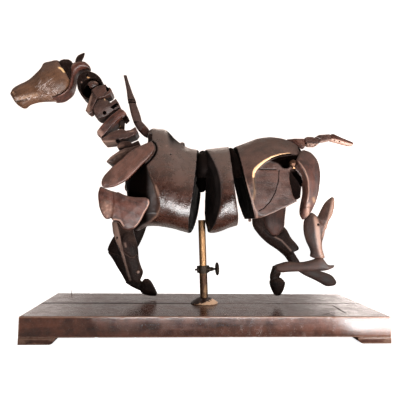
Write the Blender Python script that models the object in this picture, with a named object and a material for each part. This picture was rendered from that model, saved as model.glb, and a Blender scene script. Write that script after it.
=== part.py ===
"""Horse lay figure on a telescopic brass stand with a wooden plinth.

Metres, +Z up. The horse faces -X and its left side faces -Y.
The figure is drawn on a grid of whole parts, GRID_LENGTH of them from nose to tail tip.
Grid point (0, 0, 0) is the middle of the stand tube's upper end, and y = 0 is the horse's mid-plane.
"""
import math

import bmesh
import bpy
from mathutils import Matrix, Vector

# Plinth
PLINTH_LENGTH = 0.700
PLINTH_WIDTH = 0.246
SLAB_THICKNESS = 0.0385
SLAB_BEVEL = 0.0015
RUNNER_HEIGHT = 0.0125
RUNNER_WIDTH = 0.066
RUNNER_COVE = 0.011

# Stand
STAND_X = -0.002
STAND_Y = 0.006
STAND_LEAN = math.radians(2.6)
FLANGE_DIAMETER = 0.060
FLANGE_RIM = 0.0016
FLANGE_HEIGHT = 0.0125
FLANGE_LIP = 0.0022
FLANGE_EASE = 0.0010
OUTER_TUBE_DIAMETER = 0.0176
OUTER_TUBE_WALL = 0.0008
OUTER_TUBE_HEIGHT = 0.080
SLIDE_CLEARANCE = 0.0001
INNER_TUBE_WALL = 0.0010
INNER_TUBE_OVERLAP = 0.068
COLLAR_HEIGHT = 0.0160
COLLAR_WALL = 0.0014
BOSS_DIAMETER = 0.0105
BOSS_REACH = 0.0065
SCREW_DIAMETER = 0.0048
SCREW_CLEARANCE = 0.00035
SCREW_NECK = 0.0135
KNOB_DIAMETER = 0.0290
KNOB_THICKNESS = 0.0085
SET_SCREW_DIAMETER = 0.0046
SET_SCREW_REACH = 0.0045
TUBE_SIDES = 20

# Figure
FIGURE_LENGTH = 0.769
GRID_LENGTH = 769
LOWEST_HOOF = -175
HOOF_CLEARANCE = 0.0065
JOINT_GAP = 0.0003

PART = FIGURE_LENGTH / GRID_LENGTH
PLINTH_TOP = RUNNER_HEIGHT + SLAB_THICKNESS
OUTER_TUBE_RADIUS = OUTER_TUBE_DIAMETER / 2
OUTER_TUBE_BORE = OUTER_TUBE_RADIUS - OUTER_TUBE_WALL
INNER_TUBE_RADIUS = OUTER_TUBE_BORE - SLIDE_CLEARANCE
TUBE_TOP_HEIGHT = HOOF_CLEARANCE - LOWEST_HOOF * PART
LEAN_AXIS = Vector((-math.sin(STAND_LEAN), 0.0, math.cos(STAND_LEAN)))
STAND_FOOT = Vector((STAND_X, STAND_Y, PLINTH_TOP))
TUBE_LENGTH = TUBE_TOP_HEIGHT / math.cos(STAND_LEAN)
TUBE_TOP = STAND_FOOT + LEAN_AXIS * TUBE_LENGTH

NEAR = -1
FAR = 1

# Colours: base colour, roughness, metallic
FINISHES = {
    "dark_wood": ((0.062, 0.036, 0.026), 0.42, 0.0),
    "red_wood": ((0.135, 0.060, 0.040), 0.40, 0.0),
    "brown_wood": ((0.180, 0.110, 0.068), 0.48, 0.0),
    "plinth_wood": ((0.090, 0.045, 0.032), 0.36, 0.0),
    "brass": ((0.620, 0.430, 0.220), 0.34, 1.0),
    "bronze": ((0.110, 0.085, 0.062), 0.48, 1.0),
    "flange_metal": ((0.720, 0.520, 0.340), 0.55, 0.6),
}


def clear_scene():
    for old in list(bpy.data.objects):
        bpy.data.objects.remove(old, do_unlink=True)


def finish_material(finish):
    material = bpy.data.materials.get(finish)
    if material is None:
        colour, roughness, metallic = FINISHES[finish]
        material = bpy.data.materials.new(finish)
        material.use_nodes = True
        shader = material.node_tree.nodes["Principled BSDF"]
        shader.inputs["Base Color"].default_value = (*colour, 1.0)
        shader.inputs["Roughness"].default_value = roughness
        shader.inputs["Metallic"].default_value = metallic
    return material


def make_object(name, bm, finish, sharp_degrees=38):
    """Turns a bmesh into a named, shaded object with outward faces."""
    bmesh.ops.remove_doubles(bm, verts=bm.verts, dist=1e-6)
    bmesh.ops.triangulate(bm, faces=bm.faces)
    bmesh.ops.recalc_face_normals(bm, faces=bm.faces)
    mesh = bpy.data.meshes.new(name)
    bm.to_mesh(mesh)
    bm.free()
    mesh.shade_smooth()
    mesh.set_sharp_from_angle(angle=math.radians(sharp_degrees))
    obj = bpy.data.objects.new(name, mesh)
    obj.data.materials.append(finish_material(finish))
    bpy.context.scene.collection.objects.link(obj)
    return obj


def grid(x, y, z):
    """A point of the figure's drawing grid in metres."""
    return TUBE_TOP + Vector((x, y, z)) * PART


def curve_through(values, count, closed=False):
    """Samples a Catmull-Rom curve through rows of numbers."""
    total = len(values)
    spans = total if closed else total - 1
    samples = []
    for i in range(count):
        place = i * spans / (count if closed else count - 1)
        k = min(int(place), spans - 1)
        t = place - k
        if closed:
            a, b, c, d = (values[(k + j) % total] for j in (-1, 0, 1, 2))
        else:
            a, b, c, d = (values[min(max(k + j, 0), total - 1)] for j in (-1, 0, 1, 2))
        row = []
        for p, q, r, s in zip(a, b, c, d):
            bend = (2 * p - 5 * q + 4 * r - s) * t * t + (3 * q - p - 3 * r + s) * t ** 3
            row.append(0.5 * (2 * q + (r - p) * t + bend))
        samples.append(row)
    return samples


def skin(rings, first_tip=None, last_tip=None):
    """Joins rings of points into one closed body, with a point or a flat cap at each end."""
    bm = bmesh.new()
    loops = [[bm.verts.new(p) for p in ring] for ring in rings]
    count = len(loops[0])
    for one, two in zip(loops, loops[1:]):
        for i in range(count):
            j = (i + 1) % count
            bm.faces.new((one[i], one[j], two[j], two[i]))
    for loop, tip in ((loops[0], first_tip), (loops[-1], last_tip)):
        if tip is None:
            bm.faces.new(loop)
        else:
            centre = bm.verts.new(tip)
            for i in range(count):
                bm.faces.new((loop[i], loop[(i + 1) % count], centre))
    return bm


def rounded(value, power):
    return math.copysign(abs(value) ** power, value)


def carved(name, ribs, finish, rings=7, sides=10, square=0.8, ends=(0.5, 0.5)):
    """A carved limb from ribs (edge x, edge z, other edge x, other edge z, y, half depth)."""
    loops = []
    centres = []
    for ax, az, bx, bz, y, half in curve_through(ribs, rings):
        middle = Vector(((ax + bx) / 2, y, (az + bz) / 2))
        across = Vector(((bx - ax) / 2, 0, (bz - az) / 2))
        loop = []
        for i in range(sides):
            angle = 2 * math.pi * i / sides
            deep = Vector((0, half * rounded(math.sin(angle), square), 0))
            loop.append(middle + across * rounded(math.cos(angle), square) + deep)
        loops.append(loop)
        centres.append(middle)

    def end_cap(index, inward, dome):
        out = (centres[index] - centres[inward]).normalized()
        reach = min((loops[index][i] - centres[index]).length for i in range(sides)) * dome
        shoulder = [centres[index] + (p - centres[index]) * 0.62 + out * reach * 0.6 for p in loops[index]]
        return shoulder, centres[index] + out * reach

    if ends[0]:
        shoulder, first_tip = end_cap(0, 1, ends[0])
    if ends[1]:
        end_shoulder, last_tip = end_cap(-1, -2, ends[1])
    if ends[0]:
        loops.insert(0, shoulder)
    else:
        first_tip = centres[0]
    if ends[1]:
        loops.append(end_shoulder)
    else:
        last_tip = centres[-1]
    loops = [[grid(*p) for p in loop] for loop in loops]
    return make_object(name, skin(loops, grid(*first_tip), grid(*last_tip)), finish)


def slab(name, outline, finish, y, half, edge=3, crown=2, lean=(0, 0), points=0, plump=False):
    """A flat carved piece: its side outline, with eased edges and slightly crowned faces."""
    if points:
        outline = curve_through(outline, points, closed=True)
    cx = sum(p[0] for p in outline) / len(outline)
    cz = sum(p[1] for p in outline) / len(outline)
    size = sum(math.hypot(x - cx, z - cz) for x, z in outline) / len(outline)
    inset = 1 - edge / size
    layers = [(inset, half), (1, half - edge), (1, edge - half), (inset, -half)]
    if plump:
        layers = [(0.5, half + crown * 0.75)] + layers + [(0.5, -half - crown * 0.75)]
    rings = []
    for share, depth in layers:
        ring = []
        for x, z in outline:
            px = cx + (x - cx) * share
            pz = cz + (z - cz) * share
            ring.append(grid(px, y + depth + lean[0] * (px - cx) + lean[1] * (pz - cz), pz))
        rings.append(ring)
    return make_object(name, skin(rings, grid(cx, y + half + crown, cz), grid(cx, y - half - crown, cz)), finish)


def barrel(name, ribs, finish, rings, sides, egg, ends):
    """A body section from ribs (top x, top z, bottom x, bottom z, half width, yaw, bow).

    Each end face is a list of layers (share of the rim, distance outward, yaw), the last one its middle.
    """
    loops = []
    for tx, tz, bx, bz, half, yaw, bow in curve_through(ribs, rings):
        loop = []
        for i in range(sides):
            angle = 2 * math.pi * i / sides
            up = rounded(math.cos(angle), 0.92)
            y = half * rounded(math.sin(angle), 0.86) * (1 - egg * up)
            share = (up + 1) / 2
            x = bx + (tx - bx) * share + yaw * y + bow * (1 - up * up)
            loop.append(Vector((x, y, bz + (tz - bz) * share)))
        loops.append(loop)
    faces = []
    for index, outward, layers in ((0, -1, ends[0]), (-1, 1, ends[1])):
        rim = loops[index]
        middle = sum(rim, Vector()) / sides
        steps = []
        for share, reach, yaw in layers:
            steps.append([middle + (p - middle) * share + Vector((outward * reach + yaw * p.y * share, 0, 0))
                          for p in rim])
        faces.append(steps)
    first_tip = faces[0].pop()[0]
    last_tip = faces[1].pop()[0]
    loops = faces[0][::-1] + loops + faces[1]
    loops = [[grid(*p) for p in loop] for loop in loops]
    return make_object(name, skin(loops, grid(*first_tip), grid(*last_tip)), finish)


def turned(name, profile, finish, foot, axis, sides=32):
    """A turned piece from (radius, height) pairs about an axis. The profile is closed."""
    side = axis.orthogonal().normalized()
    bm = bmesh.new()
    loops = []
    for i in range(sides):
        spin = Matrix.Rotation(2 * math.pi * i / sides, 3, axis)
        loops.append([foot + axis * h + (spin @ side) * r for r, h in profile])
    verts = [[bm.verts.new(p) for p in loop] for loop in loops]
    count = len(profile)
    for i in range(sides):
        one, two = verts[i], verts[(i + 1) % sides]
        for j in range(count):
            k = (j + 1) % count
            corners = [one[j], one[k], two[k], two[j]]
            if profile[j][0] < 1e-9 and profile[k][0] < 1e-9:
                continue
            bm.faces.new(corners)
    bmesh.ops.remove_doubles(bm, verts=bm.verts, dist=1e-7)
    bmesh.ops.dissolve_degenerate(bm, edges=bm.edges, dist=1e-8)
    return make_object(name, bm, finish)


def grown_copy(obj, gap):
    """A cutter: the shape of a piece with every face moved out by a gap."""
    bm = bmesh.new()
    bm.from_mesh(obj.data)
    bm.normal_update()
    moved = []
    for vertex in bm.verts:
        slant = min(vertex.normal.dot(face.normal) for face in vertex.link_faces)
        moved.append(vertex.co + vertex.normal * gap / max(slant, 0.4))
    for vertex, place in zip(bm.verts, moved):
        vertex.co = place
    return make_object(obj.name + "_cutter", bm, "dark_wood")


def apply_boolean(piece, cutter, operation):
    modifier = piece.modifiers.new(operation, "BOOLEAN")
    modifier.operation = operation
    modifier.solver = "EXACT"
    modifier.object = cutter
    result = bpy.data.meshes.new_from_object(piece.evaluated_get(bpy.context.evaluated_depsgraph_get()))
    piece.modifiers.clear()
    bm = bmesh.new()
    bm.from_mesh(result)
    bmesh.ops.dissolve_limit(bm, angle_limit=math.radians(0.4), verts=bm.verts, edges=bm.edges)
    bmesh.ops.triangulate(bm, faces=bm.faces)
    bm.to_mesh(result)
    bm.free()
    piece.data = result
    bpy.data.objects.remove(cutter, do_unlink=True)


def drop_crumbs(piece):
    """Keeps the largest body of a piece when a cut has left crumbs beside it."""
    bm = bmesh.new()
    bm.from_mesh(piece.data)
    left = set(bm.faces)
    islands = []
    while left:
        stack = [left.pop()]
        island = set(stack)
        while stack:
            for edge in stack.pop().edges:
                for face in edge.link_faces:
                    if face in left:
                        left.remove(face)
                        island.add(face)
                        stack.append(face)
        islands.append(island)
    islands.sort(key=lambda faces: sum(f.calc_area() for f in faces), reverse=True)
    for island in islands[1:]:
        bmesh.ops.delete(bm, geom=list(island), context="FACES")
    bm.to_mesh(piece.data)
    bm.free()


def fit_beside(piece, *neighbours):
    """Cuts a piece back from its neighbours, which then touch it all but for the joint gap."""
    for neighbour in neighbours:
        apply_boolean(piece, grown_copy(neighbour, JOINT_GAP), "DIFFERENCE")
    drop_crumbs(piece)


def prism(outline, y_from, y_to):
    """A cutter: a side outline of the grid, pushed through from one depth to another."""
    bm = skin([[grid(x, y, z) for x, z in outline] for y in (y_from, y_to)])
    return make_object("cutter", bm, "dark_wood")


def build_plinth():
    half_l = PLINTH_LENGTH / 2
    half_w = PLINTH_WIDTH / 2
    bm = bmesh.new()
    bmesh.ops.create_cube(bm, size=1.0)
    size = Vector((PLINTH_LENGTH, PLINTH_WIDTH, SLAB_THICKNESS))
    middle = Vector((0, 0, RUNNER_HEIGHT + SLAB_THICKNESS / 2))
    for vertex in bm.verts:
        vertex.co = middle + Vector(a * b for a, b in zip(vertex.co, size))
    bmesh.ops.bevel(bm, geom=bm.edges, offset=SLAB_BEVEL, segments=2, profile=0.5, affect="EDGES")
    slab_object = make_object("plinth_slab", bm, "plinth_wood")

    runners = []
    for name, side in (("left_runner", -1), ("right_runner", 1)):
        outer = side * half_l
        inner = side * (half_l - RUNNER_WIDTH)
        top = RUNNER_HEIGHT - JOINT_GAP
        profile = [(outer, 0.0), (outer, top), (inner, top)]
        for i in range(6):
            angle = math.pi / 2 * (i + 1) / 6
            profile.append((inner + side * RUNNER_COVE * (1 - math.cos(angle)), top - top * math.sin(angle)))
        bm = skin([[Vector((x, y, z)) for x, z in profile] for y in (-half_w, half_w)])
        runners.append(make_object(name, bm, "plinth_wood"))
    return [slab_object] + runners


def rod_cutter(radius, start, end):
    """A cutter: a round rod about the stand's leaning axis."""
    return turned("cutter", [(0, start), (radius, start), (radius, end), (0, end)], "brass",
                  STAND_FOOT, LEAN_AXIS, TUBE_SIDES)


def build_stand():
    """The flange, two tubes, collar and screws, all about the leaning axis."""
    edge = FLANGE_DIAMETER / 2
    neck = OUTER_TUBE_RADIUS + FLANGE_LIP
    rise = FLANGE_HEIGHT - FLANGE_RIM
    profile = [(0, JOINT_GAP), (edge - FLANGE_EASE, JOINT_GAP), (edge, FLANGE_RIM)]
    for i in range(1, 5):
        angle = math.pi / 2 * i / 4
        profile.append((neck + (edge - neck) * math.cos(angle), FLANGE_RIM + rise * math.sin(angle) ** 1.3))
    profile.append((0, FLANGE_HEIGHT))
    flange = turned("flange", profile, "flange_metal", STAND_FOOT, Vector((0, 0, 1)), 24)
    apply_boolean(flange, rod_cutter(OUTER_TUBE_RADIUS + JOINT_GAP, -FLANGE_HEIGHT, 2 * FLANGE_HEIGHT), "DIFFERENCE")

    tube_foot = OUTER_TUBE_RADIUS * math.tan(STAND_LEAN) + JOINT_GAP
    turned("outer_tube", [(OUTER_TUBE_BORE, tube_foot), (OUTER_TUBE_RADIUS, tube_foot),
                          (OUTER_TUBE_RADIUS, OUTER_TUBE_HEIGHT), (OUTER_TUBE_BORE, OUTER_TUBE_HEIGHT)],
           "brass", STAND_FOOT, LEAN_AXIS, TUBE_SIDES)

    inner_foot = OUTER_TUBE_HEIGHT - INNER_TUBE_OVERLAP
    inner_bore = INNER_TUBE_RADIUS - INNER_TUBE_WALL
    turned("inner_tube", [(inner_bore, inner_foot), (INNER_TUBE_RADIUS, inner_foot),
                          (INNER_TUBE_RADIUS, TUBE_LENGTH), (inner_bore, TUBE_LENGTH)],
           "brass", STAND_FOOT, LEAN_AXIS, TUBE_SIDES)


def build_collar():
    """The clamp ring at the outer tube's mouth, its set screw and its thumbscrew."""
    across = Vector((LEAN_AXIS.z, 0, -LEAN_AXIS.x))
    top = OUTER_TUBE_HEIGHT + 0.001
    foot = top - COLLAR_HEIGHT
    bore = OUTER_TUBE_RADIUS + JOINT_GAP
    wall = bore + COLLAR_WALL
    ease = 0.0008
    collar = turned("collar", [(bore, foot), (wall - ease, foot), (wall, foot + ease), (wall, top - ease),
                               (wall - ease, top), (bore, top)], "bronze", STAND_FOOT, LEAN_AXIS, TUBE_SIDES)
    middle = STAND_FOOT + LEAN_AXIS * (foot + COLLAR_HEIGHT / 2)
    boss_r = BOSS_DIAMETER / 2
    for side in (-1, 1):
        start = bore + 0.0004
        reach = wall + BOSS_REACH * (1.0 if side > 0 else 0.45)
        boss = turned("boss", [(0, start), (boss_r, start), (boss_r, reach - ease), (boss_r - ease, reach), (0, reach)],
                      "bronze", middle, across * side, 10)
        apply_boolean(collar, boss, "UNION")
    hole_r = SCREW_DIAMETER / 2 + SCREW_CLEARANCE
    hole = turned("hole", [(0, bore - 0.001), (hole_r, bore - 0.001), (hole_r, wall + BOSS_REACH + 0.002),
                           (0, wall + BOSS_REACH + 0.002)], "bronze", middle, across, 12)
    apply_boolean(collar, hole, "DIFFERENCE")

    set_r = SET_SCREW_DIAMETER / 2
    set_start = wall + BOSS_REACH * 0.45 + JOINT_GAP
    set_end = set_start + SET_SCREW_REACH
    turned("set_screw", [(0, set_start), (set_r, set_start), (set_r, set_end - ease), (set_r - ease, set_end),
                         (0, set_end)], "bronze", middle, -across, 12)

    screw_r = SCREW_DIAMETER / 2
    tip = bore
    seat = wall + BOSS_REACH + JOINT_GAP
    knob = seat + SCREW_NECK - KNOB_THICKNESS * 0.5
    knob_r = KNOB_DIAMETER / 2
    profile = [(0, tip), (screw_r, tip), (screw_r, seat), (boss_r * 0.92, seat), (boss_r * 0.72, seat + 0.0055),
               (screw_r * 0.95, seat + 0.0065), (screw_r * 0.95, knob)]
    for i in range(5):
        angle = math.pi * (i / 4) - math.pi / 2
        profile.append((knob_r - KNOB_THICKNESS / 2 * (1 - math.cos(angle)) * 0.9,
                        knob + KNOB_THICKNESS / 2 + KNOB_THICKNESS / 2 * math.sin(angle)))
    profile.append((0, knob + KNOB_THICKNESS * 1.05))
    turned("thumbscrew", profile, "bronze", middle, across, 18)


def build_trunk():
    """Thorax, loin ring and pelvis, with the two spine blocks between them."""
    thorax = barrel("thorax", [
        (-168, 114, -164, 60, 26, 0, 0), (-152, 148, -156, 2, 48, 0, 0), (-131, 180, -143, -26, 64, 0, 0),
        (-116, 199, -120, -16, 72, 0, 0), (-98, 200, -100, -15, 76, 0, 0), (-80, 196, -82, -17, 78, 0.02, 0),
        (-60, 177, -64, -20, 79, 0.06, 1), (-36, 161, -44, -25, 78, 0.12, 4), (-9, 155, -25, -30, 75, 0.16, 7)],
        "dark_wood", rings=10, sides=18, egg=0.20, ends=([(0, 3, 0)], [(0.90, 0, 0), (0.84, -4, 0), (0, -8, 0)]))
    for side in (NEAR, FAR):
        flat = [(-119, 111), (-110, 82), (-101, 62), (-95, 36), (-98, 18), (-107, 2), (-121, -8), (-146, -28),
                (-210, -70), (-210, 130), (-136, 125)]
        apply_boolean(thorax, prism(flat, side * 58, side * 130), "DIFFERENCE")

    ring = barrel("loin_ring", [
        (6, 151, 11, -22, 62, 0, 8), (6, 157, 23, -28, 76, 0, 20), (22, 159, 40, -25, 80, 0, 13),
        (40, 162, 60, -17, 79, 0, 4), (57, 164, 78, -11, 75, 0.03, -5)],
        "dark_wood", rings=5, sides=20, egg=0.16, ends=([(0.75, 5.5, 0), (0, 7, 0)], [(0.9, 0, 0), (0, -6, 0)]))
    pelvis = barrel("pelvis", [
        (70, 164, 112, 2, 70, -0.03, -6), (96, 174, 124, 3, 76, 0, -3), (122, 184, 140, 6, 78, 0, 0),
        (148, 188, 158, 11, 78, 0, 0), (172, 186, 177, 17, 76, 0, 0), (194, 180, 194, 24, 70, 0, 0),
        (208, 173, 205, 32, 60, 0, 1), (215, 166, 210, 42, 48, 0, 2)],
        "dark_wood", rings=9, sides=18, egg=0.14, ends=([(0.9, 0, 0), (0, -8, 0)], [(0, 3, 0)]))
    arch = curve_through([(100, 96), (102, 108), (109, 119), (122, 128), (139, 134), (160, 139), (189, 144)], 9)
    for side in (NEAR, FAR):
        flat = arch + [(250, 152), (250, -60), (104, -60)]
        apply_boolean(pelvis, prism(flat, side * 61, side * 130), "DIFFERENCE")
    hip_pocket = [(190 + 17 * math.cos(a * math.pi / 6), 82 + 30 * math.sin(a * math.pi / 6)) for a in range(12)]
    apply_boolean(pelvis, prism([(x + 10, z) for x, z in hip_pocket], -130, -34), "DIFFERENCE")
    ball_pocket = [(166 + 9 * math.cos(a * math.pi / 5), 123 + 10 * math.sin(a * math.pi / 5)) for a in range(10)]
    apply_boolean(pelvis, prism(ball_pocket, -130, -48), "DIFFERENCE")

    front_block = carved("front_spine_block", [
        (-17, 150, 13, 151, 0, 22), (-19, 128, 18, 130, 0, 27), (-18, 100, 20, 100, 0, 26), (-10, 66, 14, 66, 0, 16)],
        "dark_wood", rings=5, sides=12)
    rear_block = carved("rear_spine_block", [
        (54, 162, 72, 158, 0, 20), (56, 140, 84, 138, 0, 26), (60, 112, 92, 110, 0, 22)],
        "dark_wood", rings=3, sides=10)
    fit_beside(front_block, thorax, ring)
    fit_beside(rear_block, ring, pelvis)
    # The loin ring's front face is hollowed round the tube's upper end and sits on it
    apply_boolean(ring, rod_cutter(INNER_TUBE_RADIUS + JOINT_GAP, 0, TUBE_LENGTH + JOINT_GAP), "DIFFERENCE")
    return {"thorax": thorax, "ring": ring, "pelvis": pelvis, "front": front_block, "rear": rear_block}


def build_head():
    face = carved("face", [
        (-421, 272, -420, 263, 0, 7), (-415, 281, -411, 249, 0, 15), (-402, 290, -402, 241, 0, 19),
        (-391, 296, -392, 238, 0, 19), (-380, 304, -382, 246, 0, 18), (-366, 318, -366, 252, 0, 20),
        (-353, 336, -350, 255, 0, 26), (-338, 342, -336, 256, 0, 31), (-322, 344, -322, 258, 0, 32),
        (-309, 330, -307, 268, 0, 29), (-299, 306, -299, 284, 0, 20)],
        "brown_wood", rings=11, sides=12, square=0.85, ends=(0.5, 0.2))
    poll = slab("poll_block", [(-317, 342), (-306, 347), (-296, 346), (-290, 341), (-288, 331), (-295, 312),
                               (-305, 316), (-312, 330)], "dark_wood", 0, 20, edge=5, crown=2)
    jaw = carved("jaw_plate", [
        (-263, 333, -258, 336, 0, 12), (-272, 326, -265, 342, 0, 18), (-278, 316, -279, 344, 0, 22),
        (-280, 309, -292, 336, 0, 23), (-282, 302, -296, 312, 0, 24), (-285, 292, -295, 295, 0, 24),
        (-290, 280, -297, 281, 0, 24), (-300, 268, -304, 271, 0, 23), (-313, 259, -314, 265, 0, 22),
        (-328, 256, -328, 261, 0, 19)],
        "red_wood", rings=10, sides=8, square=0.7, ends=(0.4, 0.4))
    ear = slab("ear", [(-284, 336), (-282, 347), (-278, 354), (-270, 359), (-263, 362), (-265, 353), (-269, 344),
                       (-275, 337)], "dark_wood", -14, 4, edge=2.5, crown=1)
    fit_beside(poll, face)
    fit_beside(jaw, face, poll)
    fit_beside(ear, jaw, poll)
    return face, poll, jaw, ear


def build_neck(trunk, jaw):
    """The neck's loose-looking blocks, from the cup behind the jaw down to the leaf plate."""
    cup_outline = [(-251 + 27 * math.cos(a * math.pi / 9), 290 + 31 * math.sin(a * math.pi / 9)) for a in range(18)]
    cup = slab("neck_cup", cup_outline, "dark_wood", 0, 21, edge=5, crown=-8)
    knob = carved("neck_knob", [(-242, 296, -232, 296, -20, 6), (-242, 287, -232, 287, -20, 6)],
                  "red_wood", rings=2, sides=8)
    upper = slab("neck_upper_block", [(-250, 281), (-221, 294), (-217, 297), (-205, 286), (-206, 278), (-214, 266),
                                      (-222, 262), (-238, 259)], "red_wood", -4, 23, edge=4)
    prong = slab("cutter", [(-256, 268), (-234, 268), (-238, 257), (-247, 232), (-254, 230), (-260, 237)],
                 "red_wood", -4, 15, edge=3)
    apply_boolean(upper, prong, "UNION")
    second = slab("neck_second_block", [(-235, 266), (-215, 257), (-201, 257), (-197, 264), (-191, 259), (-187, 244),
                                        (-216, 221), (-221, 215), (-232, 215), (-239, 222), (-244, 238), (-241, 251)],
                  "dark_wood", 0, 26, edge=4)
    tilted = slab("neck_tilted_plate", [(-188, 247), (-171, 232), (-175, 225), (-164, 222), (-168, 213), (-181, 215),
                                        (-190, 212), (-200, 199), (-211, 187), (-221, 170), (-231, 175), (-234, 188),
                                        (-229, 201), (-218, 220)], "red_wood", 0, 33, edge=4)
    broad = slab("neck_broad_block", [(-222, 171), (-208, 186), (-189, 196), (-183, 206), (-175, 212), (-171, 205),
                                      (-172, 197), (-159, 194), (-149, 199), (-145, 187), (-152, 177), (-163, 170),
                                      (-184, 163), (-199, 158), (-214, 158), (-219, 163)],
                 "dark_wood", 0, 31, edge=4)
    post = carved("cutter", [(-186, 196, -177, 194, 0, 6), (-182, 222, -173, 220, 0, 6)], "dark_wood", rings=2, sides=8)
    apply_boolean(broad, post, "UNION")
    low = slab("neck_low_block", [(-189, 154), (-184, 163), (-173, 169), (-163, 168), (-148, 167), (-142, 171),
                                  (-140, 164), (-152, 150), (-171, 146), (-185, 147)], "dark_wood", 0, 30, edge=4)
    leaf = slab("neck_leaf_plate", [(-209, 122), (-198, 136), (-185, 145), (-172, 149), (-153, 156), (-138, 158),
                                    (-140, 130), (-160, 112), (-195, 115), (-204, 118)],
                "dark_wood", 0, 40, edge=4, crown=3)
    fit_beside(cup, jaw)
    fit_beside(knob, cup)
    fit_beside(upper, cup, knob)
    fit_beside(second, upper, cup)
    fit_beside(tilted, second)
    fit_beside(broad, tilted)
    fit_beside(low, broad)
    fit_beside(leaf, low, trunk["thorax"])
    fit_beside(low, trunk["thorax"])
    return cup, knob, upper, second, tilted, broad, low, leaf


def build_crest(trunk):
    """The upright tapered strip, once the crest of the neck, in five lengths."""
    lengths = [
        ("crest_tip", [(-178, 320, -173, 320, 0, 3), (-173, 290, -163, 291, 0, 4), (-169, 262, -151, 262, 0, 6)],
         "dark_wood"),
        ("crest_band", [(-169, 264, -151, 264, 0, 6), (-168, 257, -150, 257, 0, 6)], "dark_wood"),
        ("crest_length", [(-168, 259, -150, 259, 0, 6), (-161, 233, -143, 235, 0, 7), (-155, 216, -139, 218, 0, 7)],
         "dark_wood"),
        ("crest_root", [(-155.5, 218, -140, 220, 0, 7), (-147, 206, -131, 209, 0, 7), (-143, 200, -126, 204, 0, 7)],
         "dark_wood"),
        ("crest_foot", [(-143.5, 202, -127.5, 206, 0, 7), (-135, 190, -121, 193, 0, 7), (-128, 182, -117, 185, 0, 6)],
         "red_wood"),
    ]
    pieces = []
    for name, ribs, finish in lengths:
        foot_dome = 0 if name != "crest_foot" else 0.5
        piece = carved(name, ribs, finish, rings=len(ribs), sides=8, square=0.7, ends=(0, foot_dome))
        if pieces:
            fit_beside(piece, pieces[-1])
        pieces.append(piece)
    fit_beside(pieces[-1], trunk["thorax"])
    return pieces


SHOULDER_BLADE = [(-136, 151), (-124, 155), (-113, 160), (-107, 155), (-106, 145), (-113, 129), (-136, 102),
                  (-158, 76), (-177, 65), (-191, 62), (-204, 62), (-207, 72), (-203, 86), (-192, 101), (-172, 121),
                  (-155, 136)]
UPPER_ARM = [(-214, 62), (-215, 40), (-213, 22), (-207, 6), (-199, -3), (-188, 3), (-183, -4), (-173, -10),
             (-167, -21), (-157, -24), (-146, -23), (-134, -13), (-126, 2), (-118, 20), (-113, 36), (-118, 45),
             (-140, 44), (-163, 46), (-180, 54), (-200, 64)]


def build_fore_limbs(trunk):
    pieces = {}
    thorax = trunk["thorax"]
    pieces["near_blade"] = slab("near_shoulder_blade", SHOULDER_BLADE, "red_wood", -66, 7, edge=3, crown=2,
                                lean=(-0.06, 0.20), points=22)
    pieces["near_arm"] = slab("near_upper_arm", UPPER_ARM, "red_wood", -70, 9, edge=4, crown=3, points=24)
    pieces["far_blade"] = slab("far_shoulder_blade", [(x + 28, z + 4) for x, z in SHOULDER_BLADE], "red_wood", 68, 7,
                               edge=3, crown=2, lean=(0.06, -0.20), points=18)
    pieces["far_arm"] = slab("far_upper_arm", [(x + 14, z) for x, z in UPPER_ARM], "red_wood", 68, 9,
                             edge=4, crown=3, points=18)
    pieces["near_forearm"] = carved("near_forearm", [
        (-187, -10, -146, -6, -52, 14), (-184, -30, -142, -33, -54, 17), (-177, -50, -136, -49, -56, 17),
        (-170, -68, -133, -65, -57, 16), (-163, -84, -131, -82, -57, 14), (-158, -100, -126, -98, -56, 13),
        (-155, -113, -122, -109, -56, 12), (-148, -126, -127, -124, -56, 10)],
        "dark_wood", rings=9, sides=12)
    pieces["far_forearm"] = carved("far_forearm", [
        (-166, 2, -130, -14, 52, 16), (-184, -20, -146, -40, 54, 17), (-199, -40, -168, -60, 55, 15),
        (-210, -64, -186, -78, 55, 12)], "dark_wood", rings=5, sides=12)
    pieces["far_fore_cannon"] = carved("far_fore_cannon", [
        (-211, -71, -187, -80, 54, 11), (-197, -94, -172, -102, 54, 9), (-184, -114, -161, -119, 53, 9),
        (-174, -131, -154, -131, 52, 9), (-166, -146, -149, -139, 52, 9)], "dark_wood", rings=6, sides=8)
    pieces["far_fore_pastern"] = carved("far_fore_pastern", [
        (-165, -148, -147, -141, 52, 9), (-150, -157, -137, -146, 52, 9), (-139, -161, -131, -150, 52, 9)],
        "dark_wood", rings=4, sides=8)
    pieces["far_fore_hoof"] = carved("far_fore_hoof", [
        (-137, -150, -120, -139, 52, 11), (-133, -161, -107, -149, 52, 15), (-130, -171, -100, -162, 52, 17),
        (-125, -174.7, -101, -171, 52, 17)], "dark_wood", rings=5, sides=12, ends=(0.3, 0))
    fit_beside(pieces["near_blade"], thorax)
    fit_beside(pieces["near_arm"], thorax, pieces["near_blade"])
    fit_beside(pieces["far_blade"], thorax)
    fit_beside(pieces["far_arm"], thorax, pieces["far_blade"])
    fit_beside(pieces["near_forearm"], pieces["near_arm"], thorax)
    fit_beside(pieces["far_forearm"], pieces["far_arm"], thorax)
    fit_beside(pieces["far_fore_cannon"], pieces["far_forearm"])
    fit_beside(pieces["far_fore_pastern"], pieces["far_fore_cannon"])
    fit_beside(pieces["far_fore_hoof"], pieces["far_fore_pastern"])
    return pieces


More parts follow.
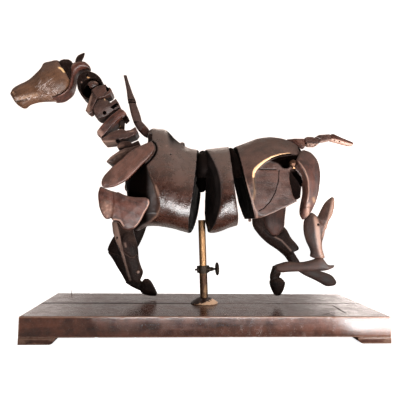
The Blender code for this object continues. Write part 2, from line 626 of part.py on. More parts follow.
def build_hind_limbs(trunk):
    pieces = {}
    pelvis = trunk["pelvis"]
    ball = carved("brass_hip_ball", [(179, 126, 187, 126, -58, 4), (181, 119, 193, 131, -58, 8),
                                     (190, 116, 199, 123, -58, 5)], "brass", rings=4, sides=12, square=1.0)
    pieces["ball"] = ball
    pieces["near_thigh"] = carved("near_thigh", [
        (206, 148, 216, 152, -48, 8), (198, 138, 231, 139, -50, 18), (196, 123, 240, 121, -52, 24),
        (205, 105, 243, 106, -54, 26), (212, 88, 244, 88, -54, 27), (214, 66, 243, 67, -53, 26),
        (211, 46, 242, 48, -51, 22), (206, 29, 236, 33, -48, 16), (209, 15, 232, 17, -45, 13),
        (213, 4, 229, 6, -43, 11)],
        "red_wood", rings=8, sides=12, ends=(0.5, 0.4))
    pieces["near_gaskin"] = carved("near_gaskin", [
        (226, 14, 244, 13, -42, 9), (218, 1, 256, -4, -42, 13), (219, -14, 268, -14, -41, 14),
        (224, -33, 264, -31, -39, 13), (233, -52, 259, -52, -37, 11), (237, -66, 262, -68, -35, 10),
        (238, -74, 266, -78, -34, 9)], "dark_wood", rings=7, sides=10)
    prong = carved("cutter", [
        (277, 53, 284, 53, -42, 4), (265, 42, 286, 44, -42, 7), (258, 28, 284, 30, -42, 9),
        (253, 12, 277, 12, -42, 10), (250, -6, 271, -10, -41, 10)], "dark_wood", rings=4, sides=10)
    apply_boolean(pieces["near_gaskin"], prong, "UNION")
    pieces["near_hind_cannon"] = carved("near_hind_cannon", [
        (286, -93, 284, -99, -34, 4), (272, -92, 272, -104, -33, 8), (256, -74, 262, -106, -32, 10),
        (246, -86, 246, -107, -29, 10), (222, -90, 222, -109, -20, 9), (192, -92, 192, -112, -8, 9),
        (177, -93, 179, -114, -2, 10), (167, -97, 169, -110, 2, 10)], "dark_wood", rings=9, sides=8)
    pieces["near_hind_pastern"] = carved("near_hind_pastern", [
        (163, -102, 172, -106, 4, 8), (161, -113, 178, -116, 6, 9), (160, -122, 175, -124, 8, 8),
        (159, -129, 173, -128, 9, 8)], "dark_wood", rings=4, sides=8)
    pieces["near_hind_hoof"] = carved("near_hind_hoof", [
        (160, -129, 183, -128, 10, 11), (156, -136, 190, -137, 11, 15), (158, -147, 189, -147, 12, 15),
        (163, -158, 186, -157, 13, 13), (168, -166, 181, -165, 14, 9)], "dark_wood", rings=5, sides=12,
        ends=(0.2, 0.2))
    pieces["far_thigh"] = carved("far_thigh", [
        (158, 136, 182, 138, 66, 8), (150, 110, 200, 112, 68, 12), (146, 70, 207, 72, 66, 15),
        (146, 36, 206, 36, 60, 18), (147, 8, 201, 8, 52, 19), (152, -14, 198, -12, 47, 16),
        (165, -30, 187, -28, 45, 10)], "red_wood", rings=6, sides=10)
    pieces["far_gaskin"] = carved("far_gaskin", [
        (123, 4, 152, 16, 52, 10), (126, -14, 178, 0, 53, 14), (142, -35, 204, -16, 54, 16),
        (162, -53, 215, -37, 55, 15), (186, -68, 226, -55, 56, 13), (204, -82, 229, -71, 58, 11),
        (216, -98, 238, -97, 61, 9)], "dark_wood", rings=6, sides=10)
    pieces["far_hind_cannon"] = carved("far_hind_cannon", [
        (216, -95, 226, -111, 62, 9), (240, -101, 238, -117, 63, 9), (262, -111, 260, -128, 65, 9),
        (285, -120, 283, -137, 67, 9), (307, -129, 302, -148, 68, 9), (321, -134, 314, -153, 69, 10),
        (331, -143, 326, -153, 70, 9)], "dark_wood", rings=7, sides=8)
    fit_beside(pelvis, ball)
    fit_beside(pieces["near_thigh"], ball, pelvis)
    fit_beside(pieces["near_gaskin"], pieces["near_thigh"])
    fit_beside(pieces["near_hind_cannon"], pieces["near_gaskin"])
    fit_beside(pieces["near_hind_pastern"], pieces["near_hind_cannon"])
    fit_beside(pieces["near_hind_hoof"], pieces["near_hind_pastern"])
    fit_beside(pieces["far_thigh"], pelvis)
    fit_beside(pieces["far_gaskin"], pieces["far_thigh"], pelvis)
    fit_beside(pieces["far_hind_cannon"], pieces["far_gaskin"], pieces["near_hind_cannon"])
    peg = carved("belly_peg", [(108, 10, 115, 10, 20, 3), (108, -1, 115, -1, 20, 3)], "dark_wood", rings=2, sides=8)
    pieces["peg"] = peg
    fit_beside(peg, pelvis)
    return pieces


def build_tail(trunk):
    dock = carved("tail_dock", [(192, 186, 198, 172, 0, 7), (206, 187.5, 209, 174, 0, 9), (218, 188, 220, 170, 0, 9),
                                (230, 188, 230, 166, 0, 8)], "red_wood", rings=4, sides=8, ends=(0.4, 0))
    second = carved("tail_second", [(229, 188, 229, 172, 0, 8), (240, 193, 240, 171, 0, 8), (254, 192, 256, 172, 0, 8),
                                    (262, 190, 262, 178, 0, 7), (268, 187, 268, 183, 0, 5)],
                    "dark_wood", rings=5, sides=8, ends=(0, 0.3))
    third = carved("tail_third", [(260, 195, 262, 190, 0, 4), (270, 198.5, 270, 189, 0, 7), (282, 200, 282, 183.5, 0, 7),
                                  (294, 199.5, 294, 185, 0, 7)], "dark_wood", rings=4, sides=8, ends=(0.3, 0))
    tip = carved("tail_tip", [(293, 199, 293, 186, 0, 6.5), (306, 199, 306, 183.5, 0, 7), (322, 193, 320, 180, 0, 6),
                              (335, 188, 332, 177, 0, 5), (346, 182, 343, 175.5, 0, 4)],
                 "red_wood", rings=5, sides=8, ends=(0, 0.4))
    fit_beside(dock, trunk["pelvis"])
    fit_beside(second, dock)
    fit_beside(third, second)
    fit_beside(tip, third)
    return dock, second, third, tip


def stand_on_origin():
    """Moves the whole part so that its origin is the middle of its box's underside."""
    root = bpy.data.objects.new("figure_root", None)
    bpy.context.scene.collection.objects.link(root)
    solids = [obj for obj in bpy.context.scene.objects if obj.type == "MESH"]
    corners = [vertex.co for obj in solids for vertex in obj.data.vertices]
    low = Vector(min(c[i] for c in corners) for i in range(3))
    high = Vector(max(c[i] for c in corners) for i in range(3))
    for obj in solids:
        obj.parent = root
    root.location = Vector((-(low.x + high.x) / 2, -(low.y + high.y) / 2, -low.z))
    return root


def main():
    clear_scene()
    build_plinth()
    build_stand()
    build_collar()
    trunk = build_trunk()
    jaw = build_head()[2]
    build_neck(trunk, jaw)
    build_crest(trunk)
    build_hind_limbs(trunk)
    build_fore_limbs(trunk)
    build_tail(trunk)
    stand_on_origin()


main()
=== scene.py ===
# %% [markdown]
# # A horse lay figure, dressed around its imported frame
#
# The real object is a worn artist's lay figure of a galloping horse. Dark waxed wooden pieces hang loosely
# together over a plain plinth, and a telescopic brass rod carries them. The imported solids already hold every
# piece at its true size and place. This lesson carves each piece again at a finer grain around them, and gives
# it the finish of the real one. We start by loading the frame. Nothing made here may change the object's size.

import math

import bmesh
import bpy
import numpy as np
from mathutils import Matrix, Vector


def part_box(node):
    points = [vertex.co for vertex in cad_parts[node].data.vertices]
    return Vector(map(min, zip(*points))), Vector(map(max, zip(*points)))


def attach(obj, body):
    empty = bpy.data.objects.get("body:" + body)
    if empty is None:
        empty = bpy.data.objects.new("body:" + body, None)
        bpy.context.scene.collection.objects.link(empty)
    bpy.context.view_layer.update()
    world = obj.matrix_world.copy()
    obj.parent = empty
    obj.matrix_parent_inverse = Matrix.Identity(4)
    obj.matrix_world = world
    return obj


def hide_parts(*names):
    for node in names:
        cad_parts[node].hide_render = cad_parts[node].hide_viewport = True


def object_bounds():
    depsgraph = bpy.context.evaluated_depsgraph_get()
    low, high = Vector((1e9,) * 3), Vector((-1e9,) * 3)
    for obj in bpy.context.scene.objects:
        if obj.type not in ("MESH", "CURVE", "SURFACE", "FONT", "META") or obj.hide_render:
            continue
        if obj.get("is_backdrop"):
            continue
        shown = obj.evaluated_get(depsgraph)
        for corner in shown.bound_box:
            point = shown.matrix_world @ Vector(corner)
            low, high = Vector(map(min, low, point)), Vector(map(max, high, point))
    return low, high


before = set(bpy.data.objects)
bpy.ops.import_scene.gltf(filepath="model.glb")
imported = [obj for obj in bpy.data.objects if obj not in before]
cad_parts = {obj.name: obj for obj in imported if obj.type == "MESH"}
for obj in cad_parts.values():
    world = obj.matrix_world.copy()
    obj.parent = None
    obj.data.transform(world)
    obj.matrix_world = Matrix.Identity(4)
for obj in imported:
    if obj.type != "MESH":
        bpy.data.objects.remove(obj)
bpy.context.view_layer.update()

# %% [markdown]
# ## A drawing grid
#
# A carver measures from one fixed point. Ours is the middle of the stand tube's upper end: x runs towards the
# tail, y towards the far side and z up, in whole millimetres. Everything on the horse is written on this grid
# and turned into metres at the last moment, so that the numbers stay short and readable.

# %% The grid and a smooth line through points
GRID_START = np.array((0.031203, 0.006, 0.2325))
MM = 0.001
NEAR, FAR = -1, 1
DRAFT = 1.0


def on_grid(points):
    """Grid millimetres as metres of the frame."""
    return np.asarray(points, float) * MM + GRID_START


def flow(rows, count, closed=False):
    """Rows of numbers sampled along a smooth curve that passes through each of them."""
    rows = np.asarray(rows, float)
    total = len(rows)
    spans = total if closed else total - 1
    place = np.arange(count) * spans / (count if closed else count - 1)
    k = np.minimum(place.astype(int), spans - 1)
    t = (place - k)[:, None]
    if closed:
        a, b, c, d = (rows[(k + j) % total] for j in (-1, 0, 1, 2))
    else:
        a, b, c, d = (rows[np.clip(k + j, 0, total - 1)] for j in (-1, 0, 1, 2))
    return 0.5 * (2 * b + (c - a) * t + (2 * a - 5 * b + 4 * c - d) * t ** 2 + (3 * b - a - 3 * c + d) * t ** 3)


def rounded(values, power):
    return np.sign(values) * np.abs(values) ** power


print("grid starts at", GRID_START.tolist())

# %% [markdown]
# ## Blanks
#
# A sculptor saws a rough blank before carving it. The horse needs three kinds. Legs are lofted through ribs,
# the shoulder and neck pieces are sawn from a board along an outline, and the trunk is turned like a barrel that
# isn't round. Each could also be sculpted from a cube by hand, but ribs and outlines keep the sizes exact.

# %% Skin a blank over rings of points
def blank_of(name, rings, first_tip, last_tip):
    """Joins rings of grid points into one closed object."""
    rings = np.asarray(rings, float)
    count = rings.shape[1]
    points = np.vstack([rings.reshape(-1, 3), [first_tip, last_tip]])
    faces = []
    for r in range(len(rings) - 1):
        for i in range(count):
            j = (i + 1) % count
            faces.append((r * count + i, r * count + j, (r + 1) * count + j, (r + 1) * count + i))
    start = (len(rings) - 1) * count
    for i in range(count):
        j = (i + 1) % count
        faces.append((j, i, len(points) - 2))
        faces.append((start + i, start + j, len(points) - 1))
    return object_of(name, on_grid(points).tolist(), faces)


def object_of(name, points, faces):
    mesh = bpy.data.meshes.new(name)
    mesh.from_pydata(points, [], faces)
    bm = bmesh.new()
    bm.from_mesh(mesh)
    bmesh.ops.recalc_face_normals(bm, faces=bm.faces)
    bm.to_mesh(mesh)
    bm.free()
    piece = bpy.data.objects.new(name, mesh)
    bpy.context.scene.collection.objects.link(piece)
    return piece


# %% A limb, from ribs
def dome(rim, inward, height):
    """Rings that close an end over a low dome, and its tip."""
    middle = rim.mean(0)
    out = middle - inward.mean(0)
    out /= np.linalg.norm(out)
    reach = np.linalg.norm(rim - middle, axis=1).min() * height
    turns = np.radians((22, 44, 62, 78))
    rings = [middle + (rim - middle) * math.cos(a) + out * reach * math.sin(a) for a in turns]
    return rings, middle + out * reach


def limb(name, ribs, ends=(0.5, 0.5), square=0.8, rings=26, sides=36):
    """Each rib holds one edge (x, z), the other edge (x, z), the depth y and the half thickness."""
    rows = flow(ribs, rings)
    one, two, thick = rows[:, (0, 4, 1)], rows[:, (2, 4, 3)], rows[:, 5]
    turn = np.arange(sides) * 2 * math.pi / sides
    across = rounded(np.cos(turn), square)[None, :, None]
    deep = rounded(np.sin(turn), square)[None, :, None] * thick[:, None, None] * np.array((0, 1, 0))
    loops = ((one + two) / 2)[:, None] + ((two - one) / 2)[:, None] * across + deep
    first, first_tip = dome(loops[0], loops[1], ends[0]) if ends[0] else ([], loops[0].mean(0))
    last, last_tip = dome(loops[-1], loops[-2], ends[1]) if ends[1] else ([], loops[-1].mean(0))
    return blank_of(name, first[::-1] + list(loops) + last, first_tip, last_tip)


# %% A board, from its outline
def board(name, outline, y, half, edge=3, crown=2, lean=(0, 0), smooth=False, steps=5):
    """A sawn piece with rounded edges and slightly crowned faces."""
    outline = np.asarray(outline, float)
    if smooth:
        outline = flow(outline, 110, closed=True)
    else:
        ends = np.roll(outline, -1, axis=0)
        outline = np.vstack([a + (b - a) * t for a, b in zip(outline, ends) for t in np.linspace(0, 0.9, 8)[:, None]])
    middle = outline.mean(0)
    inset = edge / np.linalg.norm(outline - middle, axis=1).mean()
    layers = []
    for a in np.linspace(0, math.pi / 2, steps):
        layers.append((1 - inset * (1 - math.cos(a)), half - edge + edge * math.sin(a)))
    for share in (0.75, 0.5, 0.25):
        layers.append(((1 - inset) * share, half + crown * (1 - share ** 2)))
    layers = [(s, d) for s, d in layers[::-1]] + [(s, -d) for s, d in layers]
    rings = []
    for share, depth in layers:
        flat = (outline - middle) * share
        tilt = flat @ np.asarray(lean, float)
        rings.append(np.column_stack([middle[0] + flat[:, 0], y + depth + tilt, middle[1] + flat[:, 1]]))
    tips = [(middle[0], y + side * (half + crown), middle[1]) for side in (1, -1)]
    return blank_of(name, rings, *tips)


# %% A barrel of the trunk, from ribs
def barrel(name, ribs, egg, ends, rings=34, sides=72, belly=0.86):
    """Each rib: top (x, z), bottom (x, z), half width, yaw, bow. End layers: share of the rim, outward, yaw."""
    rows = flow(ribs, rings)
    turn = np.arange(sides) * 2 * math.pi / sides
    up = rounded(np.cos(turn), 0.92)
    loops = []
    fullness = 0.86 + (belly - 0.86) * np.clip(-up * 2, 0, 1)
    for tx, tz, bx, bz, half, yaw, bow in rows:
        y = half * rounded(np.sin(turn), fullness) * (1 - egg * up)
        share = (up + 1) / 2
        x = bx + (tx - bx) * share + yaw * y + bow * (1 - up * up)
        loops.append(np.column_stack([x, y, bz + (tz - bz) * share]))
    faces = []
    for rim, outward, layers in ((loops[0], -1, ends[0]), (loops[-1], 1, ends[1])):
        middle = rim.mean(0)
        steps = []
        for share, reach in layers:
            steps.append(middle + (rim - middle) * share + np.array((outward * reach, 0, 0)))
        faces.append(steps)
    first_tip, last_tip = faces[0].pop()[0], faces[1].pop()[0]
    return blank_of(name, faces[0][::-1] + loops + faces[1], first_tip, last_tip)


# %% [markdown]
# ## Sawing and fitting
#
# Sockets, flats and the seats between neighbours are cut with Booleans while the blanks are still coarse,
# because that is quick and clean. Only then is a blank divided finely and evenly with a voxel remesh and eased
# a little, as if sanded. Evenly small faces let every later stroke of the gouge go anywhere.

# %% Cut, join, divide and ease
blanks = {}


def settle(piece):
    """Applies the piece's modifiers to its mesh."""
    done = bpy.data.meshes.new_from_object(piece.evaluated_get(bpy.context.evaluated_depsgraph_get()))
    piece.modifiers.clear()
    old = piece.data
    piece.data = done
    bpy.data.meshes.remove(old)


def saw(piece, tool, operation="DIFFERENCE", keep_tool=False):
    cut = piece.modifiers.new("saw", "BOOLEAN")
    cut.operation = operation
    cut.solver = "EXACT"
    cut.object = tool
    settle(piece)
    if not keep_tool:
        bpy.data.objects.remove(tool, do_unlink=True)


def fit(node, *neighbours):
    """Cuts a blank back where it would run into its neighbours."""
    for name in neighbours:
        saw(blanks[node], blanks[name], keep_tool=True)


def sand(piece, grain, strokes):
    """Divides a blank into even faces and eases its corners."""
    divide = piece.modifiers.new("divide", "REMESH")
    divide.mode = "VOXEL"
    divide.voxel_size = grain * MM * DRAFT
    ease = piece.modifiers.new("ease", "SMOOTH")
    ease.factor = 0.5
    ease.iterations = strokes
    settle(piece)


# %% Cutters that are round, sawn or scooped
def rod(start, end, radius, sides=32):
    """A round cutter between two grid points."""
    start, end = Vector(start), Vector(end)
    along = (end - start).normalized()
    side = along.orthogonal().normalized()
    rings = []
    for centre in (start, end):
        rings.append([list(centre + Matrix.Rotation(2 * math.pi * i / sides, 3, along) @ side * radius)
                      for i in range(sides)])
    return blank_of("tool", rings, list(start), list(end))


def wedge(outline, y_from, y_to):
    """A cutter with a side outline, pushed through from one depth to another."""
    ring = [[(x, y, z) for x, z in outline] for y in (y_from, y_to)]
    middle = np.asarray(outline, float).mean(0)
    return blank_of("tool", ring, (middle[0], y_from, middle[1]), (middle[0], y_to, middle[1]))


def scoop(inner, outer):
    """A cutter between two rings of grid points, deep ring first."""
    inner, outer = np.asarray(inner, float), np.asarray(outer, float)
    return blank_of("tool", [inner, outer], inner.mean(0), outer.mean(0))


def ball(centre, radius, sides=28):
    """A plain ball on the grid."""
    rings = []
    for a in np.radians(np.linspace(-80, 80, 13)):
        rings.append([(centre[0] + radius * math.cos(a) * math.cos(b), centre[1] + radius * math.cos(a) * math.sin(b),
                       centre[2] + radius * math.sin(a)) for b in np.arange(sides) * 2 * math.pi / sides])
    return blank_of("ball", rings, np.add(centre, (0, 0, -radius)), np.add(centre, (0, 0, radius)))


def oval(x, z, wide, high, count=28):
    turns = [2 * math.pi * i / count for i in range(count)]
    return [(x + wide * math.cos(a), z + high * math.sin(a)) for a in turns]


# %% [markdown]
# ## Gouge and brush
#
# Surface work is pushing points along their normals, and painting masks that the materials read later. Masks
# live on the points, so they stay on the wood when a piece moves and from every side. Edge wear could be guessed
# by the shader from pointiness, but a measured mask also works where the finish is baked.

# %% A carving holds the points and the masks of one piece
# The masks: the dark one holds dirt and also painted shade in gaps, hollows, holes and cuts; the rubbed one holds
# pale wear and also painted highlights and the painted light on undersides; the scuff one holds scratches and a few
# painted highlights; the bare one holds raw wood and a few painted glints; the dust one holds dust and the painted
# light on tops.
MASKS = ("bare_and_glint", "grime_and_shade", "scuff_and_highlight", "rubbed_and_lit", "dust_and_top_light")


class Carving:
    def __init__(self, piece):
        self.piece = piece
        mesh = piece.data
        count = len(mesh.vertices)
        flat = np.empty(count * 3, np.float32)
        mesh.vertices.foreach_get("co", flat)
        self.points = (flat.reshape(-1, 3) - GRID_START) / MM
        mesh.vertex_normals.foreach_get("vector", flat)
        self.normals = flat.reshape(-1, 3).copy()
        edges = np.empty(len(mesh.edges) * 2, np.int32)
        mesh.edges.foreach_get("vertices", edges)
        self.edges = edges.reshape(-1, 2)
        self.masks = {name: np.zeros(count) for name in MASKS}

    def spread(self, values, passes):
        """Averages a value over neighbouring points."""
        one, two = self.edges.T
        links = np.bincount(one, minlength=len(values)) + np.bincount(two, minlength=len(values))
        for _ in range(passes):
            total = np.bincount(one, values[two], len(values)) + np.bincount(two, values[one], len(values))
            values = (values + total / links) / 2
        return values

    def bend(self):
        """How convex the surface is at each point, one at a sharp edge."""
        one, two = self.edges.T
        reach = np.linalg.norm(self.points[two] - self.points[one], axis=1) + 1e-6
        step = (self.points[two] - self.points[one]) / reach[:, None]
        slope = -np.bincount(one, (step * self.normals[one]).sum(1), len(self.points))
        slope += np.bincount(two, (step * self.normals[two]).sum(1), len(self.points))
        return slope / 2 / reach.mean()

    def distance(self, path):
        """Distance of every point to a line through grid points, seen from the side."""
        path = np.asarray(path, float)
        points = self.points[:, (0, 2)]
        best = np.full(len(points), 1e9)
        if len(path) == 1:
            return np.linalg.norm(points - path[0], axis=1)
        for a, b in zip(path, path[1:]):
            run = b - a
            t = np.clip(((points - a) @ run) / (run @ run), 0, 1)
            best = np.minimum(best, np.linalg.norm(points - a - t[:, None] * run, axis=1))
        return best

    def facing(self, side, least=0.35):
        """One where the surface faces the near or far side."""
        return np.clip((self.normals[:, 1] * side - least) / 0.3, 0, 1)

    def push(self, amount):
        self.points = self.points + self.normals * np.asarray(amount)[:, None]

    def groove(self, path, width, depth, side=NEAR, grime_and_shade=0.8):
        """A line cut with a gouge, darkened inside with dirt and painted shade."""
        share = np.clip(1 - self.distance(path) / width, 0, 1) ** 0.8 * self.facing(side)
        self.push(-depth * share)
        self.brush("grime_and_shade", share * grime_and_shade)

    # A dent; its grime share paints dirt and shade into it.
    def dent(self, place, reach, depth, side=NEAR, grime_and_shade=0.0):
        share = np.clip(1 - (self.distance([place]) / reach) ** 2, 0, 1) * self.facing(side, 0.1)
        self.push(-depth * share)
        self.brush("grime_and_shade", share * grime_and_shade)

    def fold(self, path, reach, height, side=NEAR):
        """Raises a crisp crest along a line, with a flat slope on each side of it."""
        share = np.clip(1 - self.distance(path) / reach, 0, 1) * np.clip(self.normals[:, 1] * side * 2, 0, 1)
        self.points[:, 1] += side * share * height

    def sink(self, outline, depth, side=NEAR, lip=1.0):
        """Lowers everything inside an outline, or raises it where depth is negative."""
        self.push(-depth * self.inside(outline, lip) * self.facing(side, 0.1))

    def inside(self, outline, lip=1.0):
        """One inside an outline seen from the side, with a soft lip."""
        outline = np.asarray(outline, float)
        x, z = self.points[:, 0], self.points[:, 2]
        within = np.zeros(len(x), bool)
        for (ax, az), (bx, bz) in zip(outline, np.roll(outline, -1, axis=0)):
            if az != bz:
                within ^= ((az > z) != (bz > z)) & (x < (bx - ax) * (z - az) / (bz - az) + ax)
        gap = self.distance(np.vstack([outline, outline[:1]]))
        return np.clip(np.where(within, gap, -gap) / lip + 0.5, 0, 1)

    def brush(self, mask, amount):
        self.masks[mask] = np.maximum(self.masks[mask], np.clip(amount, 0, 1))

    def stripe(self, mask, path, width, soft=1.0, side=None, strength=1.0):
        """Paints along a line seen from the side."""
        amount = np.clip((width - self.distance(path)) / soft + 0.5, 0, 1) * strength
        if side is not None:
            amount = amount * self.facing(side)
        self.brush(mask, amount)


# %% Slow waves that stand for hand work
def waves(points, size, seed, count=9):
    """A smooth random field, about one bump per size millimetres, between about -1 and 1."""
    rng = np.random.default_rng(seed)
    field = np.zeros(len(points))
    for _ in range(count):
        way = rng.normal(size=3)
        way /= np.linalg.norm(way)
        pitch = size * rng.uniform(0.7, 1.6)
        field += np.sin(points @ way * 2 * math.pi / pitch + rng.uniform(0, 2 * math.pi))
    return field / math.sqrt(count) / 1.4


# %% Finish a carving
LONG_STROKE, SHORT_STROKE = 26, 8
made = []


def finish(carving, node, body, slot, material, seed, along=None, hand=0.25, wear=None, dust_and_top_light=0.8):
    """Lays hand work and wear on a piece, paints shade and dirt in its hollows and light on its tops, and puts it in
    its node's place.
    """
    long_waves, short_waves = waves(carving.points, LONG_STROKE, seed), waves(carving.points, SHORT_STROKE, seed + 1)
    carving.push(long_waves * hand + short_waves * hand * 0.3)
    bend = carving.spread(carving.bend(), 2)
    if wear is None:
        wear = np.clip(bend * 1.1, 0, 1)
        # painted shade and dirt in the hollows
        carving.brush("grime_and_shade", np.clip(-bend * 0.9, 0, 1))
    # tops made paler, as dust and as painted light from above
    carving.brush("dust_and_top_light", carving.spread(np.clip(carving.normals[:, 2] * 1.5 - 0.15, 0, 1), 3) * dust_and_top_light)
    centred = carving.points - carving.points.mean(0)
    if along is None:
        along = np.linalg.eigh(centred.T @ centred)[1][:, 2]
    along = np.asarray(along, float) / np.linalg.norm(along)
    side = np.cross(along, (0.13, 0.97, 0.2))
    side /= np.linalg.norm(side)
    turned = np.column_stack([centred @ along, centred @ side, centred @ np.cross(along, side)])
    turned = turned * MM + np.random.default_rng(seed).uniform(0, 3, 3)
    mesh = carving.piece.data
    mesh.vertices.foreach_set("co", on_grid(carving.points).astype(np.float32).ravel())
    for name, values in (*carving.masks.items(), ("wear", wear)):
        layer = mesh.attributes.new(name, "FLOAT", "POINT")
        layer.data.foreach_set("value", values.astype(np.float32))
    layer = mesh.attributes.new("grain", "FLOAT_VECTOR", "POINT")
    layer.data.foreach_set("vector", turned.astype(np.float32).ravel())
    mesh.update()
    place(carving.piece, node, body, slot, material)


def place(piece, node, body, slot, material):
    """Names a piece, gives it its material and puts it in the place of its solid."""
    piece.name = node + "_finished"
    piece.data.name = piece.name
    piece.data.materials.clear()
    piece.data.materials.append(material)
    piece.data.shade_smooth()
    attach(piece, body)
    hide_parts(node)
    made.append(piece)

# %% [markdown]
# ## Shared effects
#
# Every wooden piece shows figure in the grain, a mottled coat of old wax, rubbed edges and fine scuffs, each
# to its own degree. An effect that many materials use is a node group: built once, with named inputs, and
# placed in each material with its own values. The shader itself stays in the material.

# %% Small helpers for node trees
def new_group(name, inputs, outputs):
    group = bpy.data.node_groups.new(name, "ShaderNodeTree")
    for title, kind, value in inputs:
        socket = group.interface.new_socket(title, in_out="INPUT", socket_type="NodeSocket" + kind)
        if value is not None:
            socket.default_value = value
    for title, kind in outputs:
        group.interface.new_socket(title, in_out="OUTPUT", socket_type="NodeSocket" + kind)
    return group, group.nodes.new("NodeGroupInput"), group.nodes.new("NodeGroupOutput")


def math_node(tree, operation, one, two=None, clamp=False):
    node = tree.nodes.new("ShaderNodeMath")
    node.operation = operation
    node.use_clamp = clamp
    for socket, value in zip(node.inputs, (one, two)):
        if isinstance(value, bpy.types.NodeSocket):
            tree.links.new(value, socket)
        elif value is not None:
            socket.default_value = value
    return node.outputs[0]


def plus(tree, one, two):
    return math_node(tree, "ADD", one, two)


def times(tree, one, two):
    return math_node(tree, "MULTIPLY", one, two)


def scaled(tree, vector, scale):
    node = tree.nodes.new("ShaderNodeVectorMath")
    node.operation = "MULTIPLY"
    tree.links.new(vector, node.inputs[0])
    node.inputs[1].default_value = scale
    return node.outputs[0]


# %% Noise, ranges and blends
def noise(tree, vector, scale, detail=3.0, rough=0.5, distort=0.0):
    node = tree.nodes.new("ShaderNodeTexNoise")
    tree.links.new(vector, node.inputs["Vector"])
    node.inputs["Scale"].default_value = scale
    node.inputs["Detail"].default_value = detail
    node.inputs["Roughness"].default_value = rough
    node.inputs["Distortion"].default_value = distort
    return node.outputs["Fac"]


def ranged(tree, value, low, high, out_low=0.0, out_high=1.0, smooth=True):
    node = tree.nodes.new("ShaderNodeMapRange")
    node.interpolation_type = "SMOOTHSTEP" if smooth else "LINEAR"
    tree.links.new(value, node.inputs["Value"])
    for title, number in (("From Min", low), ("From Max", high), ("To Min", out_low), ("To Max", out_high)):
        node.inputs[title].default_value = number
    return node.outputs["Result"]


def blended(tree, share, one, two):
    """A colour between two colours."""
    node = tree.nodes.new("ShaderNodeMix")
    node.data_type = "RGBA"
    tree.links.new(share, node.inputs["Factor"])
    for socket, value in zip((node.inputs[6], node.inputs[7]), (one, two)):
        if isinstance(value, bpy.types.NodeSocket):
            tree.links.new(value, socket)
        else:
            socket.default_value = (*value, 1.0)
    return node.outputs[2]


# %% Figure of the wood: long streaks and short dark pores
figure_group, group_in, group_out = new_group(
    "wood_figure", [("Place", "Vector", None), ("Width", "Float", 1.0)], [("Figure", "Float"), ("Pores", "Float")])
stretch = figure_group.nodes.new("ShaderNodeVectorMath")
stretch.operation = "SCALE"
figure_group.links.new(group_in.outputs["Place"], stretch.inputs[0])
figure_group.links.new(group_in.outputs["Width"], stretch.inputs["Scale"])
streaks = noise(figure_group, scaled(figure_group, stretch.outputs[0], (12, 150, 150)), 1.0, 4.0, 0.55, 0.3)
pores = noise(figure_group, scaled(figure_group, stretch.outputs[0], (90, 1500, 1500)), 1.0, 2.0)
figure_group.links.new(ranged(figure_group, streaks, 0.3, 0.7), group_out.inputs["Figure"])
figure_group.links.new(ranged(figure_group, pores, 0.62, 0.72), group_out.inputs["Pores"])

# %% Old wax: patches that shine more or less, and a fine pebble
wax_group, group_in, group_out = new_group("old_wax", [("Place", "Vector", None)],
                                           [("Patches", "Float"), ("Pebble", "Float"), ("Specks", "Float")])
patches = noise(wax_group, group_in.outputs["Place"], 42.0, 5.0, 0.62)
pebble = noise(wax_group, group_in.outputs["Place"], 430.0, 3.0, 0.6)
specks = noise(wax_group, group_in.outputs["Place"], 640.0, 2.0, 0.6)
wax_group.links.new(ranged(wax_group, specks, 0.57, 0.70), group_out.inputs["Specks"])
wax_group.links.new(ranged(wax_group, patches, 0.34, 0.66), group_out.inputs["Patches"])
wax_group.links.new(pebble, group_out.inputs["Pebble"])

# %% Rubbed edges: the measured wear, broken up by noise
edge_group, group_in, group_out = new_group(
    "rubbed_edges", [("Place", "Vector", None), ("Wear", "Float", 0.0), ("Reach", "Float", 0.5)], [("Mask", "Float")])
broken = noise(edge_group, group_in.outputs["Place"], 130.0, 4.0, 0.6)
raised = plus(edge_group, group_in.outputs["Wear"], times(edge_group, broken, 0.55))
lifted = plus(edge_group, raised, group_in.outputs["Reach"])
edge_group.links.new(ranged(edge_group, lifted, 0.98, 1.25), group_out.inputs["Mask"])

# %% Scuffs: thin pale scratches that cross at two angles
scuff_and_highlight_group, group_in, group_out = new_group(
    "fine_scuffs_and_highlights", [("Place", "Vector", None), ("Where", "Float", 0.0)], [("Mask", "Float")])
scratches = []
for angle, size in ((0.5, (260, 1500, 900)), (-0.9, (1300, 320, 900)), (0.0, (620, 640, 600))):
    spin = scuff_and_highlight_group.nodes.new("ShaderNodeVectorRotate")
    scuff_and_highlight_group.links.new(group_in.outputs["Place"], spin.inputs["Vector"])
    spin.inputs["Axis"].default_value = (0, 1, 0.2)
    spin.inputs["Angle"].default_value = angle
    thin = noise(scuff_and_highlight_group, scaled(scuff_and_highlight_group, spin.outputs[0], size), 1.0, 2.0, 0.5, 0.2)
    scratches.append(ranged(scuff_and_highlight_group, thin, 0.60, 0.68))
crossed = math_node(scuff_and_highlight_group, "MAXIMUM", scratches[0], scratches[1])
anywhere = math_node(scuff_and_highlight_group, "MAXIMUM", crossed, scratches[2])
# Strong strokes show whole: single scratches, and a few painted highlights.
single = ranged(scuff_and_highlight_group, group_in.outputs["Where"], 0.86, 0.98)
anywhere = times(scuff_and_highlight_group, anywhere, group_in.outputs["Where"])
scuff_and_highlight_group.links.new(math_node(scuff_and_highlight_group, "MAXIMUM", anywhere, single), group_out.inputs["Mask"])
print("shared effects:", [g.name for g in bpy.data.node_groups if g.type == "SHADER"])

# %% [markdown]
# ## Finishes
#
# The horse is near black on its dark blocks, redder on its plates, and mid brown on the face, where the stain
# has been handled away. All are the same old waxed wood, so one function builds them from their own colours.

